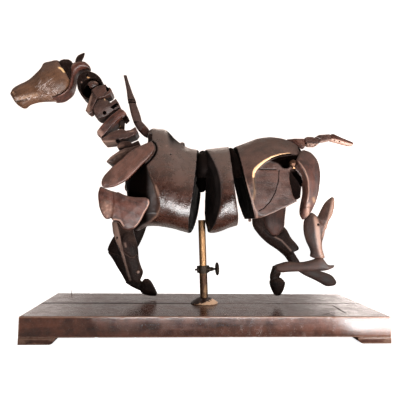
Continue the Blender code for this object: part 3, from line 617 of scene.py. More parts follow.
# %% Waxed wood
# Tints that the masks paint: dust with the painted light on tops, dirt with painted shade, pale specks, and scratches
# with a few painted highlights.
DUST_AND_TOP_LIGHT_TINT = (0.120, 0.072, 0.055)
GRIME_AND_SHADE_TINT = (0.0015, 0.0010, 0.0008)
SPECK_TINT = (0.42, 0.33, 0.30)
SCUFF_AND_HIGHLIGHT_TINT = (0.55, 0.44, 0.40)


def mask_of(tree, name, output="Fac"):
    """A mask that was painted on the points."""
    node = tree.nodes.new("ShaderNodeAttribute")
    node.attribute_name = name
    return node.outputs[output]


def place_group(tree, group, **inputs):
    node = tree.nodes.new("ShaderNodeGroup")
    node.node_tree = group
    for title, value in inputs.items():
        if isinstance(value, bpy.types.NodeSocket):
            tree.links.new(value, node.inputs[title])
        else:
            node.inputs[title].default_value = value
    return node.outputs


# %% Build a waxed wood from its colours
def waxed_wood(name, deep, light, edge, raw, gloss=(0.31, 0.44), reach=0.42, width=1.0,
               sheen=0.85, pebbled=0.0009):
    """Old wax over stained wood: deep and light stain, the pale colour of rubbed edges and of painted highlights, and
    raw wood.
    """
    material = bpy.data.materials.new(name)
    material.use_nodes = True
    tree = material.node_tree
    shader = tree.nodes["Principled BSDF"]
    where = mask_of(tree, "grain", "Vector")
    figure = place_group(tree, figure_group, Place=where, Width=width)
    wax = place_group(tree, wax_group, Place=where)
    worn = place_group(tree, edge_group, Place=where, Wear=mask_of(tree, "wear"), Reach=reach)["Mask"]
    scuff_and_highlight_share = place_group(tree, scuff_and_highlight_group, Place=where, Where=mask_of(tree, "scuff_and_highlight"))["Mask"]
    share = plus(tree, times(tree, figure["Figure"], 0.45), times(tree, wax["Patches"], 0.55))
    colour = blended(tree, share, deep, light)
    colour = blended(tree, times(tree, figure["Pores"], 0.35), colour, tuple(0.3 * c for c in deep))
    # The rubbed mask paints pale wear, and also painted highlights and the light on undersides.
    colour = blended(tree, times(tree, mask_of(tree, "rubbed_and_lit"), 0.85), colour, edge)
    colour = blended(tree, times(tree, worn, 0.75), colour, edge)
    # Dust and painted top light: the dust mask makes tops paler and more matte.
    uneven = ranged(tree, wax["Patches"], 0.0, 1.0, 0.65, 1.0, smooth=False)
    dust_and_top_light_share = times(tree, mask_of(tree, "dust_and_top_light"), uneven)
    colour = blended(tree, times(tree, dust_and_top_light_share, 0.8), colour, DUST_AND_TOP_LIGHT_TINT)
    colour = blended(tree, times(tree, wax["Specks"], 0.10), colour, SPECK_TINT)
    # Raw wood where worn through, and a few painted glints.
    colour = blended(tree, mask_of(tree, "bare_and_glint"), colour, raw)
    # The dark mask paints dirt and painted shade near black.
    grime_and_shade_share = mask_of(tree, "grime_and_shade")
    colour = blended(tree, grime_and_shade_share, colour, GRIME_AND_SHADE_TINT)
    # Scratches, and a few painted highlights, in pale.
    colour = blended(tree, times(tree, scuff_and_highlight_share, 0.7), colour, SCUFF_AND_HIGHLIGHT_TINT)
    tree.links.new(colour, shader.inputs["Base Color"])
    rough = ranged(tree, wax["Patches"], 0.0, 1.0, gloss[0], gloss[1], smooth=False)
    rough = plus(tree, rough, times(tree, grime_and_shade_share, 0.6))
    rough = plus(tree, rough, times(tree, dust_and_top_light_share, 0.25))
    rough = math_node(tree, "ADD", rough, times(tree, scuff_and_highlight_share, 0.15), clamp=True)
    tree.links.new(rough, shader.inputs["Roughness"])
    shader.inputs["Specular IOR Level"].default_value = sheen
    # In the dark mask the wax turns metallic and rough, so painted shade reflects almost nothing.
    tree.links.new(ranged(tree, grime_and_shade_share, 0.3, 0.95), shader.inputs["Metallic"])
    bump = tree.nodes.new("ShaderNodeBump")
    bump.inputs["Strength"].default_value = 0.8
    bump.inputs["Distance"].default_value = pebbled
    height = plus(tree, times(tree, figure["Figure"], 0.12), times(tree, wax["Pebble"], 0.9))
    tree.links.new(height, bump.inputs["Height"])
    tree.links.new(bump.outputs["Normal"], shader.inputs["Normal"])
    return material


# %% The wood finishes
RAW_WOOD, PALE_WEAR_AND_LIGHT, RED_WEAR_AND_LIGHT = (0.62, 0.34, 0.16), (0.26, 0.15, 0.11), (0.34, 0.20, 0.15)
trunk_wax = waxed_wood("polished_trunk", (0.0060, 0.0020, 0.0013), (0.035, 0.0112, 0.0064), PALE_WEAR_AND_LIGHT, RAW_WOOD,
                       gloss=(0.15, 0.30), sheen=0.75, pebbled=0.0008)
black_wax = waxed_wood("black_glossy_wood", (0.0035, 0.0018, 0.0013), (0.018, 0.0080, 0.0058), (0.20, 0.125, 0.10),
                       RAW_WOOD, gloss=(0.22, 0.38), reach=0.36, sheen=0.06, pebbled=0.0006)
dark_wax = waxed_wood("dark_waxed_wood", (0.012, 0.0044, 0.0028), (0.056, 0.0215, 0.0140), PALE_WEAR_AND_LIGHT,
                      (0.62, 0.37, 0.20), gloss=(0.36, 0.54), sheen=0.4)
red_wax = waxed_wood("red_waxed_plates", (0.012, 0.0036, 0.0022), (0.090, 0.0250, 0.0140), RED_WEAR_AND_LIGHT, RAW_WOOD,
                     gloss=(0.30, 0.50), sheen=0.45)
face_wax = waxed_wood("brown_handled_face", (0.050, 0.0200, 0.0085), (0.130, 0.0560, 0.0260), (0.34, 0.20, 0.12),
                      (0.80, 0.50, 0.24), gloss=(0.48, 0.64), sheen=0.4)
plinth_wax = waxed_wood("polished_plinth", (0.026, 0.0085, 0.0055), (0.125, 0.040, 0.022), (0.30, 0.17, 0.12),
                        (0.56, 0.30, 0.13), gloss=(0.10, 0.20), reach=0.5, width=0.5, sheen=0.6, pebbled=0.0003)
print("wood finishes:", [wax.name for wax in (trunk_wax, black_wax, dark_wax, red_wax, face_wax, plinth_wax)])

# %% [markdown]
# ## Metal
#
# The tubes are pale worn brass that darkens towards the plinth, the collar and screws are almost black
# bronze, and the foot flange keeps a cream ground that shows where its dark coat has chipped away.

# %% Tarnished metal
def tarnished(name, bright, dull, gloss, amount, scale=(60, 60, 26), metallic=1.0):
    """Metal whose tarnish lies in long patches; amount is how much of it there is."""
    material = bpy.data.materials.new(name)
    material.use_nodes = True
    tree = material.node_tree
    shader = tree.nodes["Principled BSDF"]
    where = tree.nodes.new("ShaderNodeTexCoord").outputs["Object"]
    patchy = noise(tree, scaled(tree, where, scale), 1.0, 5.0, 0.65)
    specks = noise(tree, where, 900.0, 2.0)
    cover = plus(tree, patchy, times(tree, specks, 0.25))
    cover = ranged(tree, cover, 0.85 - amount, 1.15 - amount)
    cover = math_node(tree, "MAXIMUM", cover, mask_of(tree, "grime_and_shade"))
    tree.links.new(blended(tree, cover, bright, dull), shader.inputs["Base Color"])
    tree.links.new(ranged(tree, cover, 0.0, 1.0, gloss[0], gloss[1], smooth=False), shader.inputs["Roughness"])
    shader.inputs["Metallic"].default_value = metallic
    bump = tree.nodes.new("ShaderNodeBump")
    bump.inputs["Strength"].default_value = 0.2
    bump.inputs["Distance"].default_value = 0.0002
    tree.links.new(specks, bump.inputs["Height"])
    tree.links.new(bump.outputs["Normal"], shader.inputs["Normal"])
    return material


pale_brass = tarnished("pale_old_brass", (0.36, 0.205, 0.100), (0.17, 0.095, 0.048), (0.34, 0.55), 0.40)
lower_brass = tarnished("browned_brass", (0.29, 0.170, 0.085), (0.055, 0.030, 0.020), (0.36, 0.55), 0.42)
dark_bronze = tarnished("dark_bronze", (0.16, 0.115, 0.085), (0.035, 0.026, 0.020), (0.36, 0.6), 0.55)
ball_brass = tarnished("rubbed_ball_brass", (0.50, 0.27, 0.13), (0.085, 0.045, 0.030), (0.25, 0.45), 0.55,
                       scale=(120, 120, 120))
flange_coat = tarnished("chipped_flange", (1.0, 0.66, 0.43), (0.035, 0.018, 0.014), (0.5, 0.35), 0.16,
                        scale=(170, 170, 260), metallic=0.0)
print("metal finishes:", pale_brass.name, lower_brass.name, dark_bronze.name, flange_coat.name)

# %% [markdown]
# ## Camera, floor and light
#
# The camera stands where the photographer stood, a little left of the middle and just above the plinth, looking
# very slightly up. A pale floor and a bright surround give the plain white ground. Low lights that lie on the
# table in front of the plinth put the broad gleam on the horse's flank, and one overhead greys its back. One
# large light could do both, but then the gleam would follow it up over the whole side.

# %% Camera
def look(yaw, pitch, roll):
    forward = Vector((math.sin(yaw) * math.cos(pitch), math.cos(yaw) * math.cos(pitch), math.sin(pitch)))
    right = Vector((math.cos(yaw), -math.sin(yaw), 0))
    up = right.cross(forward)
    right, up = (right * math.cos(roll) + up * math.sin(roll), up * math.cos(roll) - right * math.sin(roll))
    return Matrix((right, up, -forward)).transposed()


plinth_low, plinth_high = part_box("plinth_slab")
camera = bpy.data.objects.new("camera", bpy.data.cameras.new("camera"))
camera.data.sensor_width = 36
camera.data.lens = 36
camera.data.clip_end = 50
YAW, PITCH, ROLL = (math.radians(a) for a in (3.66, 3.35, 0.87))
EYE_LEFT, EYE_BACK, EYE_HEIGHT = -0.0713, -0.8798, 0.2248
camera.matrix_world = look(YAW, PITCH, ROLL).to_4x4()
camera.location = Vector((EYE_LEFT + (plinth_low.x + plinth_high.x) / 2, EYE_BACK, EYE_HEIGHT))
bpy.context.scene.collection.objects.link(camera)
bpy.context.scene.camera = camera
print("camera at", [round(c, 3) for c in camera.location])

# %% Floor
floor_mesh = bpy.data.meshes.new("floor")
floor_mesh.from_pydata([(-30, -30, 0), (30, -30, 0), (30, 30, 0), (-30, 30, 0)], [], [(0, 1, 2, 3)])
floor = bpy.data.objects.new("floor", floor_mesh)
bpy.context.scene.collection.objects.link(floor)
paper = bpy.data.materials.new("white_paper")
paper.use_nodes = True
paper_shader = paper.node_tree.nodes["Principled BSDF"]
paper_shader.inputs["Base Color"].default_value = (0.82, 0.82, 0.82, 1)
paper_shader.inputs["Roughness"].default_value = 0.9
paper_shader.inputs["Emission Color"].default_value = (1, 1, 1, 1)
seen = paper.node_tree.nodes.new("ShaderNodeLightPath")
paper.node_tree.links.new(seen.outputs["Is Camera Ray"], paper_shader.inputs["Emission Strength"])
floor.data.materials.append(paper)
floor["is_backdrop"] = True
print("floor of", paper.name)

# %% Light
def soft_light(name, place, aim, wide, high, power, tint=(1, 1, 1)):
    data = bpy.data.lights.new(name, "AREA")
    data.color = tint
    data.shape = "RECTANGLE"
    data.size, data.size_y, data.energy = wide, high, power
    light = bpy.data.objects.new(name, data)
    light.visible_camera = False
    light.location = place
    light.rotation_euler = (Vector(aim) - Vector(place)).to_track_quat("-Z", "Y").to_euler()
    bpy.context.scene.collection.objects.link(light)


WARM = (1.0, 0.84, 0.74)
soft_light("table_near", (0.10, -0.56, 0.006), (0.10, -0.56, 1), 0.64, 0.24, 18)
soft_light("table_front", (0.10, -0.83, 0.006), (0.10, -0.83, 1), 0.64, 0.30, 2.5)
soft_light("table_right", (0.50, -0.28, 0.006), (0.50, -0.28, 1), 0.30, 0.18, 4)
soft_light("right_front", (0.80, -0.62, 0.10), (0.36, -0.12, 0.04), 0.22, 0.14, 4.0)
soft_light("overhead", (0.0, -0.3, 1.5), (0.0, 0, 0.2), 2.4, 2.0, 14, WARM)
soft_light("top_back", (0.1, 0.9, 1.3), (0.05, 0, 0.2), 0.6, 0.5, 4, WARM)
soft_light("top_right", (1.2, -0.4, 1.2), (0.0, 0, 0.25), 0.5, 0.5, 2)
soft_light("top_left", (-1.2, -0.4, 1.2), (0.0, 0, 0.25), 0.5, 0.5, 2)

# %% Bright surround
world = bpy.data.worlds.new("surround")
bpy.context.scene.world = world
world.use_nodes = True
sky = world.node_tree
backdrop = sky.nodes["Background"]
backdrop.inputs["Color"].default_value = (1, 0.90, 0.85, 1)
way = sky.nodes.new("ShaderNodeSeparateXYZ")
sky.links.new(sky.nodes.new("ShaderNodeTexCoord").outputs["Generated"], way.inputs[0])
behind = ranged(sky, way.outputs["Y"], 0.3, 0.95, 0.0, 0.75)
low_band = ranged(sky, way.outputs["Z"], 0.10, 0.32, 1.0, 0.12)
right_glow = ranged(sky, way.outputs["X"], 0.30, 0.42, 0.0, 4.0)
left_glow = ranged(sky, way.outputs["X"], -0.34, -0.18, 1.6, 0.0)
glow = plus(sky, plus(sky, right_glow, left_glow), 1.0)
ambient = times(sky, times(sky, behind, low_band), glow)
ambient = plus(sky, ambient, 0.05)
seen = sky.nodes.new("ShaderNodeLightPath")
sky.links.new(math_node(sky, "MAXIMUM", ambient, times(sky, seen.outputs["Is Camera Ray"], 1.3)),
              backdrop.inputs["Strength"])
bpy.context.scene.view_settings.view_transform = "Standard"
print("surround:", world.name)

# %% [markdown]
# ## Plinth
#
# The plinth is a plain polished board on two feet with hollowed inner ends. Its front is straight and its edges
# are only lightly rubbed, so it is drawn as a section swept along its length, with its points crowded at the
# edges where the wear is. The seam between its two planks is part of the section, and one splinter stands up
# from the back edge. A plain cube could be cut instead, but its wear would have no points to sit on.

# %% Sections and their sweep
def rounded_section(half_wide, low, high, ease, seam):
    """Points (y, z) round a board's section, with a shallow seam in its top."""
    corners = [(half_wide, low, 270), (half_wide, high, 0), (-half_wide, high, 90), (-half_wide, low, 180)]
    section = []
    for y, z, start in corners:
        inner = (y - math.copysign(ease, y), z + (ease if z == low else -ease))
        for a in np.radians(np.linspace(start, start + 90, 7)):
            section.append((inner[0] + ease * math.cos(a), inner[1] + ease * math.sin(a)))
        if (y, z) == (half_wide, high):
            for y_step in np.linspace(half_wide - 5, seam + 4, 16):
                section.append((y_step, high))
            section += [(seam + 0.9, high), (seam + 0.25, high - 0.7), (seam - 0.25, high - 0.7), (seam - 0.9, high)]
            for y_step in np.linspace(seam - 4, -half_wide + 5, 16):
                section.append((y_step, high))
        if (y, z) == (-half_wide, high):
            section += [(-half_wide, z_step) for z_step in np.linspace(high - 4, low + 4, 10)]
    return np.asarray(section)


def swept(name, section, start, end, ease, stations, order):
    """A section swept between two ends, with both ends eased. Order says where its numbers go in x, y, z."""
    middle = section.mean(0)
    ahead, back = np.roll(section, -1, axis=0), np.roll(section, 1, axis=0)
    run = ahead - back
    out = np.column_stack([run[:, 1], -run[:, 0]]) / np.linalg.norm(run, axis=1)[:, None]
    if ((section - middle) * out).sum() < 0:
        out = -out
    rings = []
    turns = np.radians(np.linspace(90, 0, 5))
    for a in turns:
        rings.append((start + ease * (1 - math.sin(a)), section - out * ease * (1 - math.cos(a))))
    for at in np.linspace(start + ease, end - ease, stations)[1:-1]:
        rings.append((at, section))
    for a in turns[::-1]:
        rings.append((end - ease * (1 - math.sin(a)), section - out * ease * (1 - math.cos(a))))
    solid = []
    for at, ring in rings:
        columns = {order[0]: np.full(len(ring), at), order[1]: ring[:, 0], order[2]: ring[:, 1]}
        solid.append(np.column_stack([columns[axis] for axis in "xyz"]))
    tips = []
    for at in (start, end):
        tip = {order[0]: at, order[1]: middle[0], order[2]: middle[1]}
        tips.append([tip[axis] for axis in "xyz"])
    shift = (np.zeros(3) - GRID_START) / MM
    return blank_of(name, [ring + shift for ring in solid], *(np.asarray(t) + shift for t in tips))


def edge_wear(points, low, high, reach):
    """One at a box's edges, fading out over reach millimetres."""
    near = np.sort(np.minimum(points - low, high - points), axis=1)
    return np.clip(1 - near[:, 1] / reach, 0, 1)


# %% Sweep the slab, and wear its edges
slab_low, slab_high = (np.asarray(v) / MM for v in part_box("plinth_slab"))
seam_y = 0.0
slab = swept("slab", rounded_section((slab_high[1] - slab_low[1]) / 2, slab_low[2], slab_high[2], 1.5, seam_y),
             slab_low[0], slab_high[0], 1.5, 260, "xyz")
saw(slab, rod((-306.5, 115.6, -183), (-305.4, 115.9, -173.8), 0.8), "UNION")
work = Carving(slab)
in_frame = work.points + GRID_START / MM
edges_worn = edge_wear(in_frame, slab_low, slab_high, 4.0)
chips = np.clip(waves(work.points, 11, 5) - 0.55, 0, 1) * 1.6 * np.clip(edges_worn * 2 - 0.8, 0, 1)
splinter = in_frame[:, 2] > slab_high[2] + 0.2
work.push(-chips * ~splinter)
work.brush("grime_and_shade", splinter * 0.9)
on_top = in_frame[:, 2] > slab_high[2] - 1
seam = np.clip(1.6 - np.abs(in_frame[:, 1] - seam_y) / 3, 0, 1) * on_top
work.brush("grime_and_shade", seam * np.interp(work.points[:, 0], (-60, 40, 200), (0.9, 0.35, 0.1)))
crack = np.abs(work.points[:, 0] - 285 - (work.points[:, 1] + 60) * 0.06) < 1.6
work.brush("grime_and_shade", crack * on_top * (work.points[:, 1] > -95) * (work.points[:, 1] < -28) * 0.7)
in_front = in_frame[:, 1] < slab_low[1] + 0.5
most_scraped = np.interp(work.points[:, 0], (0, 60, 190, 300), (0.2, 1, 1, 0.5))
scraped = np.clip(waves(work.points, 16, 31) - 0.1, 0, 1) * most_scraped
work.brush("scuff_and_highlight", scraped * in_front * 0.8)
work.brush("scuff_and_highlight", np.clip(waves(work.points, 30, 37) - 0.5, 0, 1) * on_top * 0.5)
finish(work, "plinth_slab", "stand", "plinth_wood", plinth_wax, 11, along=(1, 0, 0), hand=0.0,
       wear=edges_worn * 0.75 + chips * 0.3, dust_and_top_light=0.2)
print("slab points:", len(work.points), "longest chip in mm:", round(float(chips.max()), 2))

# %% [markdown]
# ## Feet
#
# Each end of the plinth rests on a low foot whose inner end is hollowed in a quarter round. The section is drawn
# from the solid's own box, so it keeps its size, and only the hollow is new.

# %% Sweep the feet
COVE = 11
for side, node in ((-1, "left_runner"), (1, "right_runner")):
    foot_low, foot_high = (np.asarray(v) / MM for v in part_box(node))
    outer, inner = (foot_low[0], foot_high[0]) if side < 0 else (foot_high[0], foot_low[0])
    top = foot_high[2]
    flat = [(outer, top * t) for t in np.linspace(0.04, 1, 6)]
    over = [(outer + (inner - outer) * t, top) for t in np.linspace(0.04, 1, 14)]
    turns = np.radians(np.linspace(8, 90, 12))
    cove = [(inner + side * COVE * (1 - math.cos(a)), top - top * math.sin(a)) for a in turns]
    under = [(inner + side * COVE + (outer - inner - side * COVE) * t, 0) for t in np.linspace(0.05, 0.98, 12)]
    around = np.asarray(flat + over + cove + under)
    runner = swept(node + "_blank", around, foot_low[1], foot_high[1], 0.8, 60, "yxz")
    work = Carving(runner)
    worn = edge_wear(work.points + GRID_START / MM, foot_low, foot_high, 3.5)
    finish(work, node, "stand", "plinth_wood", plinth_wax, 12 + side, along=(1, 0, 0), hand=0.0, wear=worn * 0.7)
print("feet under both ends, cove in mm:", COVE)

# %% [markdown]
# ## Stand
#
# A domed foot flange, two tubes, a clamp ring with a boss on each side and a thumbscrew with a round, slightly
# dished head. They are turned work, so each is a profile spun about the rod, which leans a little to the head.

# %% Turn a profile about the rod
LEAN = Vector((-0.045363, 0, 0.998971))
ROD_FOOT = Vector((0.039445, 0.006, 0.051))
ACROSS = Vector((LEAN.z, 0, -LEAN.x))


def turned(name, profile, foot, axis, sides=72):
    """Spins (radius, height) pairs in millimetres about an axis; a closed profile makes a tube."""
    side = axis.orthogonal().normalized()
    rings = []
    for i in range(sides):
        arm = Matrix.Rotation(2 * math.pi * i / sides, 3, axis) @ side
        rings.append([foot + axis * h * MM + arm * r * MM for r, h in profile])
    count = len(profile)
    points = [p for ring in rings for p in ring]
    faces = []
    for i in range(sides):
        for j in range(count):
            k = (j + 1) % count
            one, two = i * count, (i + 1) % sides * count
            if profile[j][0] > 0 or profile[k][0] > 0:
                faces.append((one + j, one + k, two + k, two + j))
    piece = object_of(name, points, faces)
    bm = bmesh.new()
    bm.from_mesh(piece.data)
    bmesh.ops.remove_doubles(bm, verts=bm.verts, dist=1e-7)
    bmesh.ops.recalc_face_normals(bm, faces=bm.faces)
    bm.to_mesh(piece.data)
    bm.free()
    return piece


def eased(profile, ease, steps=3):
    """Rounds the corners of a closed profile."""
    profile = np.asarray(profile, float)
    soft = []
    for before, at, after in zip(np.roll(profile, 1, axis=0), profile, np.roll(profile, -1, axis=0)):
        if at[0] == 0:
            soft.append(tuple(at))
            continue
        back, ahead = before - at, after - at
        cut = min(ease, np.linalg.norm(back) * 0.4, np.linalg.norm(ahead) * 0.4)
        start = at + back / np.linalg.norm(back) * cut
        end = at + ahead / np.linalg.norm(ahead) * cut
        for t in np.linspace(0, 1, steps):
            soft.append(tuple((1 - t) ** 2 * start + 2 * t * (1 - t) * at + t * t * end))
    return soft


# %% Turn the two tubes and darken them towards the bottom
def darken_turned(piece, share):
    """Darkens a turned piece, for the flange's dark coat and the tubes' lower ends: share says how much at each
    point.
    """
    layer = piece.data.attributes.new("grime_and_shade", "FLOAT", "POINT")
    layer.data.foreach_set("value", np.clip(share, 0, 1).astype(np.float32))


def points_about_foot(piece):
    """A piece's points in millimetres from the rod's foot."""
    return np.array([v.co - ROD_FOOT for v in piece.data.vertices]) / MM


def tube(node, material, inner, outer, foot, top, body):
    steps = np.linspace(0.15, 0.85, 12)
    wall = [(inner, foot), (outer, foot)] + [(outer, foot + (top - foot) * t) for t in steps]
    wall += [(outer, top), (inner, top)]
    piece = turned(node + "_turned", eased(wall, 0.3), ROD_FOOT, LEAN)
    place(piece, node, body, "brass", material)
    darken_turned(piece, (30 - points_about_foot(piece)[:, 2]) / 26)
    piece.data.set_sharp_from_angle(angle=math.radians(50))


tube("outer_tube", lower_brass, inner=8.0, outer=8.8, foot=0.7, top=80.0, body="stand")
tube("inner_tube", pale_brass, inner=6.9, outer=7.9, foot=12.0, top=181.69, body="figure")
print("tubes:", [p.name for p in made[-2:]], "rod leans by degrees:", round(math.degrees(math.acos(LEAN.z)), 2))

# %% [markdown]
# ## Foot flange
#
# The foot is a low dome of cast metal with a hole for the tube. Its dark coat has chipped off round the front of
# the rim along a ragged line, and waves along that line are enough for it, with no need of a painted picture.

# %% Spin the flange and chip its coat
dome_line = [(10.6 + 19.4 * t, 1.6 + 10.9 * (1 - t ** 1.25)) for t in np.linspace(1, 0, 30)]
flange = turned("flange_turned", [(0, 0.3), (29.0, 0.3), (29.8, 0.9)] + dome_line + [(0, 12.5)], ROD_FOOT,
                Vector((0, 0, 1)), 150)
bore = turned("bore", [(0, -12), (9.1, -12), (9.1, 25), (0, 25)], ROD_FOOT, LEAN)
saw(flange, bore)
place(flange, "flange", "stand", "flange_metal", flange_coat)
spots = points_about_foot(flange)
coat_line = 5.2 + 0.22 * spots[:, 0] + waves(spots, 5, 3) * 1.3 + waves(spots, 2.2, 4) * 0.8
darken_turned(flange, (spots[:, 2] - coat_line) * 1.5 + np.clip(spots[:, 1] - 8, 0, 3))
flange.data.set_sharp_from_angle(angle=math.radians(40))
print("flange points:", len(spots), "coat line in mm:", round(float(coat_line.min()), 1), "up")

# %% [markdown]
# ## Clamp ring and screws
#
# A ring grips the outer tube. It has a boss on each side, a stub in one and in the other the thumbscrew that
# locks the inner tube. The ring is joined from turned parts and eased, as a casting is, and the screws stay crisp.

# %% Join the ring and turn the screws
ring_middle = ROD_FOOT + LEAN * 73 * MM
collar = turned("collar_cast", [(9.1, 65), (10.5, 65), (10.5, 81), (9.1, 81)], ROD_FOOT, LEAN)
for way, reach, lug_reach in ((ACROSS, 17.0, 13.9), (-ACROSS, 13.43, 13.43)):
    boss = turned("boss", [(0, 9.5), (5.0, 9.5), (5.0, reach - 0.8), (4.2, reach), (0, reach)], ring_middle, way, 40)
    saw(collar, boss, "UNION")
    around = ((9.3, 7.7), (lug_reach, 7.3), (lug_reach, -7.3), (9.3, -7.7))
    corners = [ring_middle + way * a * MM + LEAN * b * MM for a, b in around]
    outline = [tuple(((np.asarray(c) - GRID_START) / MM)[[0, 2]]) for c in corners]
    saw(collar, board("lug", outline, 6.0, 5.5, edge=1.2, crown=0), "UNION")
hole = turned("hole", [(0, 8.1), (2.75, 8.1), (2.75, 19), (0, 19)], ring_middle, ACROSS, 32)
saw(collar, hole)
sand(collar, 0.42, 3)
place(collar, "collar", "stand", "bronze", dark_bronze)
stub = turned("stub", eased([(0, 13.8), (2.3, 13.8), (2.3, 18.2), (0, 18.2)], 0.6), ring_middle, -ACROSS, 40)
place(stub, "set_screw", "stand", "bronze", dark_bronze)
stem = [(0, 9.1), (2.4, 9.1), (2.4, 17.3), (4.8, 17.3), (4.6, 18.4), (3.8, 22.0), (3.0, 23.2), (2.3, 23.9),
        (2.2, 26.6)]
head = [(4.5 + 10.0 * math.cos(a), 30.9 + 4.25 * math.sin(a)) for a in np.radians(np.linspace(-80, 80, 17))]
dished = [(8.0, 34.6), (3.2, 34.2), (2.2, 35.2), (0, 35.5)]
screw = turned("screw", stem + [(6.0, 27.4)] + head + dished, ring_middle, ACROSS, 72)
place(screw, "thumbscrew", "thumbscrew", "bronze", dark_bronze)
print("stand pieces:", [p.name for p in made if p.name.startswith(("outer", "inner", "flange", "collar", "thumb"))])

# %% [markdown]
# ## Trunk
#
# The trunk is three barrels, egg shaped in section, with two blocks in the gaps between them. The thorax and the
# pelvis are sawn flat where the limbs swing, and those flats end in crisp ridges that the eye reads first. The
# loin ring's front face is hollowed round the rod's upper end, which it sits on.

# %% Outlines of the trunk
THORAX = [(-168, 114, -164, 60, 26, 0, 0), (-152, 148, -156, 2, 48, 0, 0), (-131, 180, -143, -26, 64, 0, 0),
          (-116, 199, -120, -16, 72, 0, 0), (-98, 200, -100, -15, 76, 0, 0), (-80, 196, -82, -17, 78, 0.02, 0),
          (-60, 177, -64, -20, 79, 0.06, 1), (-36, 161, -44, -25, 78, 0.12, 4), (-9, 155, -25, -30, 75, 0.16, 7)]
RIDGE = [(-119, 113), (-113, 92), (-102, 66), (-94, 42), (-92, 24), (-96, 8), (-109, -3), (-124, -11), (-146, -30)]
SHOULDER_EDGE = [(-146, -60), (-215, -70), (-215, 40), (-200, 100), (-160, 118), (-136, 128)]
LOIN = [(5, 156, 15, -28, 75, 0, 23), (12, 158, 25, -28.5, 78, 0, 19), (22, 159, 40, -25, 80, 0, 13),
        (40, 162, 60, -17, 79, 0, 4), (57, 164, 78, -11, 75, 0.03, -5)]
PELVIS = [(70, 164, 113, -14, 63, -0.03, -6), (96, 174, 124, -13, 69, 0, -3), (122, 184, 140, -10, 75, 0, 0),
          (148, 188, 158, -5, 78, 0, 0), (172, 186, 177, 2, 76, 0, 0), (194, 180, 194, 12, 70, 0, 0),
          (208, 173, 206, 24, 60, 0, 1), (216, 166, 213, 38, 48, 0, 2)]
BELLY_LINE = [(90, 3), (111, 4), (123, 7), (135, 12), (149, 18), (163, 25), (176, 31), (188, 37), (202, 45),
              (240, 66)]
ARCH_INNER = [(105, 90), (108, 99), (116, 108), (120, 115), (126, 121), (138, 128), (156, 135), (177, 139),
              (195, 141), (218, 143)]
ARCH_OUTER = [(100, 90), (100, 100), (104, 109), (113, 118), (123, 126), (140, 135), (158, 140.5), (177, 144),
              (194, 145), (218, 147)]
CAVITY = [(181, 108), (187, 111), (195, 106), (204, 94), (211, 84), (217, 70), (213, 50), (197, 43), (188, 55),
          (183, 72), (180, 90)]
print("trunk ribs:", len(THORAX), len(LOIN), len(PELVIS))

# %% Saw the thorax
blanks["thorax"] = barrel("thorax", THORAX, 0.32, ([(0.98, 1), (0.9, 2), (0.5, 3), (0, 3)],
                                                   [(0.90, 0), (0.84, -4), (0.4, -7), (0, -8)]))
saw(blanks["thorax"], wedge([(-121.5, 215), (-122.5, 181), (-120.5, 172), (-121, 163), (-134, 153), (-160, 141),
                             (-220, 120), (-220, 215)], -130, 130))
saw(blanks["thorax"], wedge([(-112, 215), (-113.5, 190), (-112, 178), (-111, 166), (-118, 158), (-134, 149),
                             (-160, 137), (-220, 116), (-220, 215)], -130, -28))
saw(blanks["thorax"], ball((-46, -6, 166), 6), "UNION")
for side in (NEAR, FAR):
    deep = [(x, side * 68, z) for x, z in RIDGE]
    deep += [(x, side * max(26, 68 + (x + 119) * 0.5), z) for x, z in SHOULDER_EDGE]
    saw(blanks["thorax"], scoop(deep, [(x, side * 130, z) for x, y, z in deep]))
saw(blanks["thorax"], rod((-46, 8, 158), (-44, 8, 171.5), 3.2), "UNION")
print("thorax points:", len(blanks["thorax"].data.vertices))

# %% Saw the loin ring and the pelvis
blanks["loin_ring"] = barrel("loin", LOIN, 0.26, ([(0.94, 1.6), (0.78, 7), (0.5, 11.5), (0.25, 13), (0, 13.5)],
                                                  [(0.9, 0), (0.5, -4), (0, -6)]))
blanks["pelvis"] = barrel("pelvis", PELVIS, 0.10, ([(0.9, 0), (0.5, -5), (0, -8)], [(0.9, 1), (0.5, 2.6), (0, 3)]),
                          belly=0.55)
below = [(250, 120), (250, -60), (105, -60)]
for side in (NEAR, FAR):
    deep = [(x, side * 61, z) for x, z in ARCH_INNER + below]
    wide = [(x, side * 74, z) for x, z in ARCH_OUTER + below]
    out = [(2 * b[0] - a[0], side * 87, 2 * b[2] - a[2]) for a, b in zip(deep, wide)]
    saw(blanks["pelvis"], scoop(deep, out))
saw(blanks["pelvis"], wedge(BELLY_LINE + [(240, -90), (90, -90)], -130, 130))
saw(blanks["pelvis"], wedge(flow(CAVITY, 40, closed=True).tolist(), -130, -26))
saw(blanks["pelvis"], wedge([(156, 128), (177, 134), (178, 111), (166, 112), (162, 121)], -130, -50))
saw(blanks["pelvis"], ball((188, -53, 131), 9.5), "UNION")
print("pelvis points:", len(blanks["pelvis"].data.vertices))

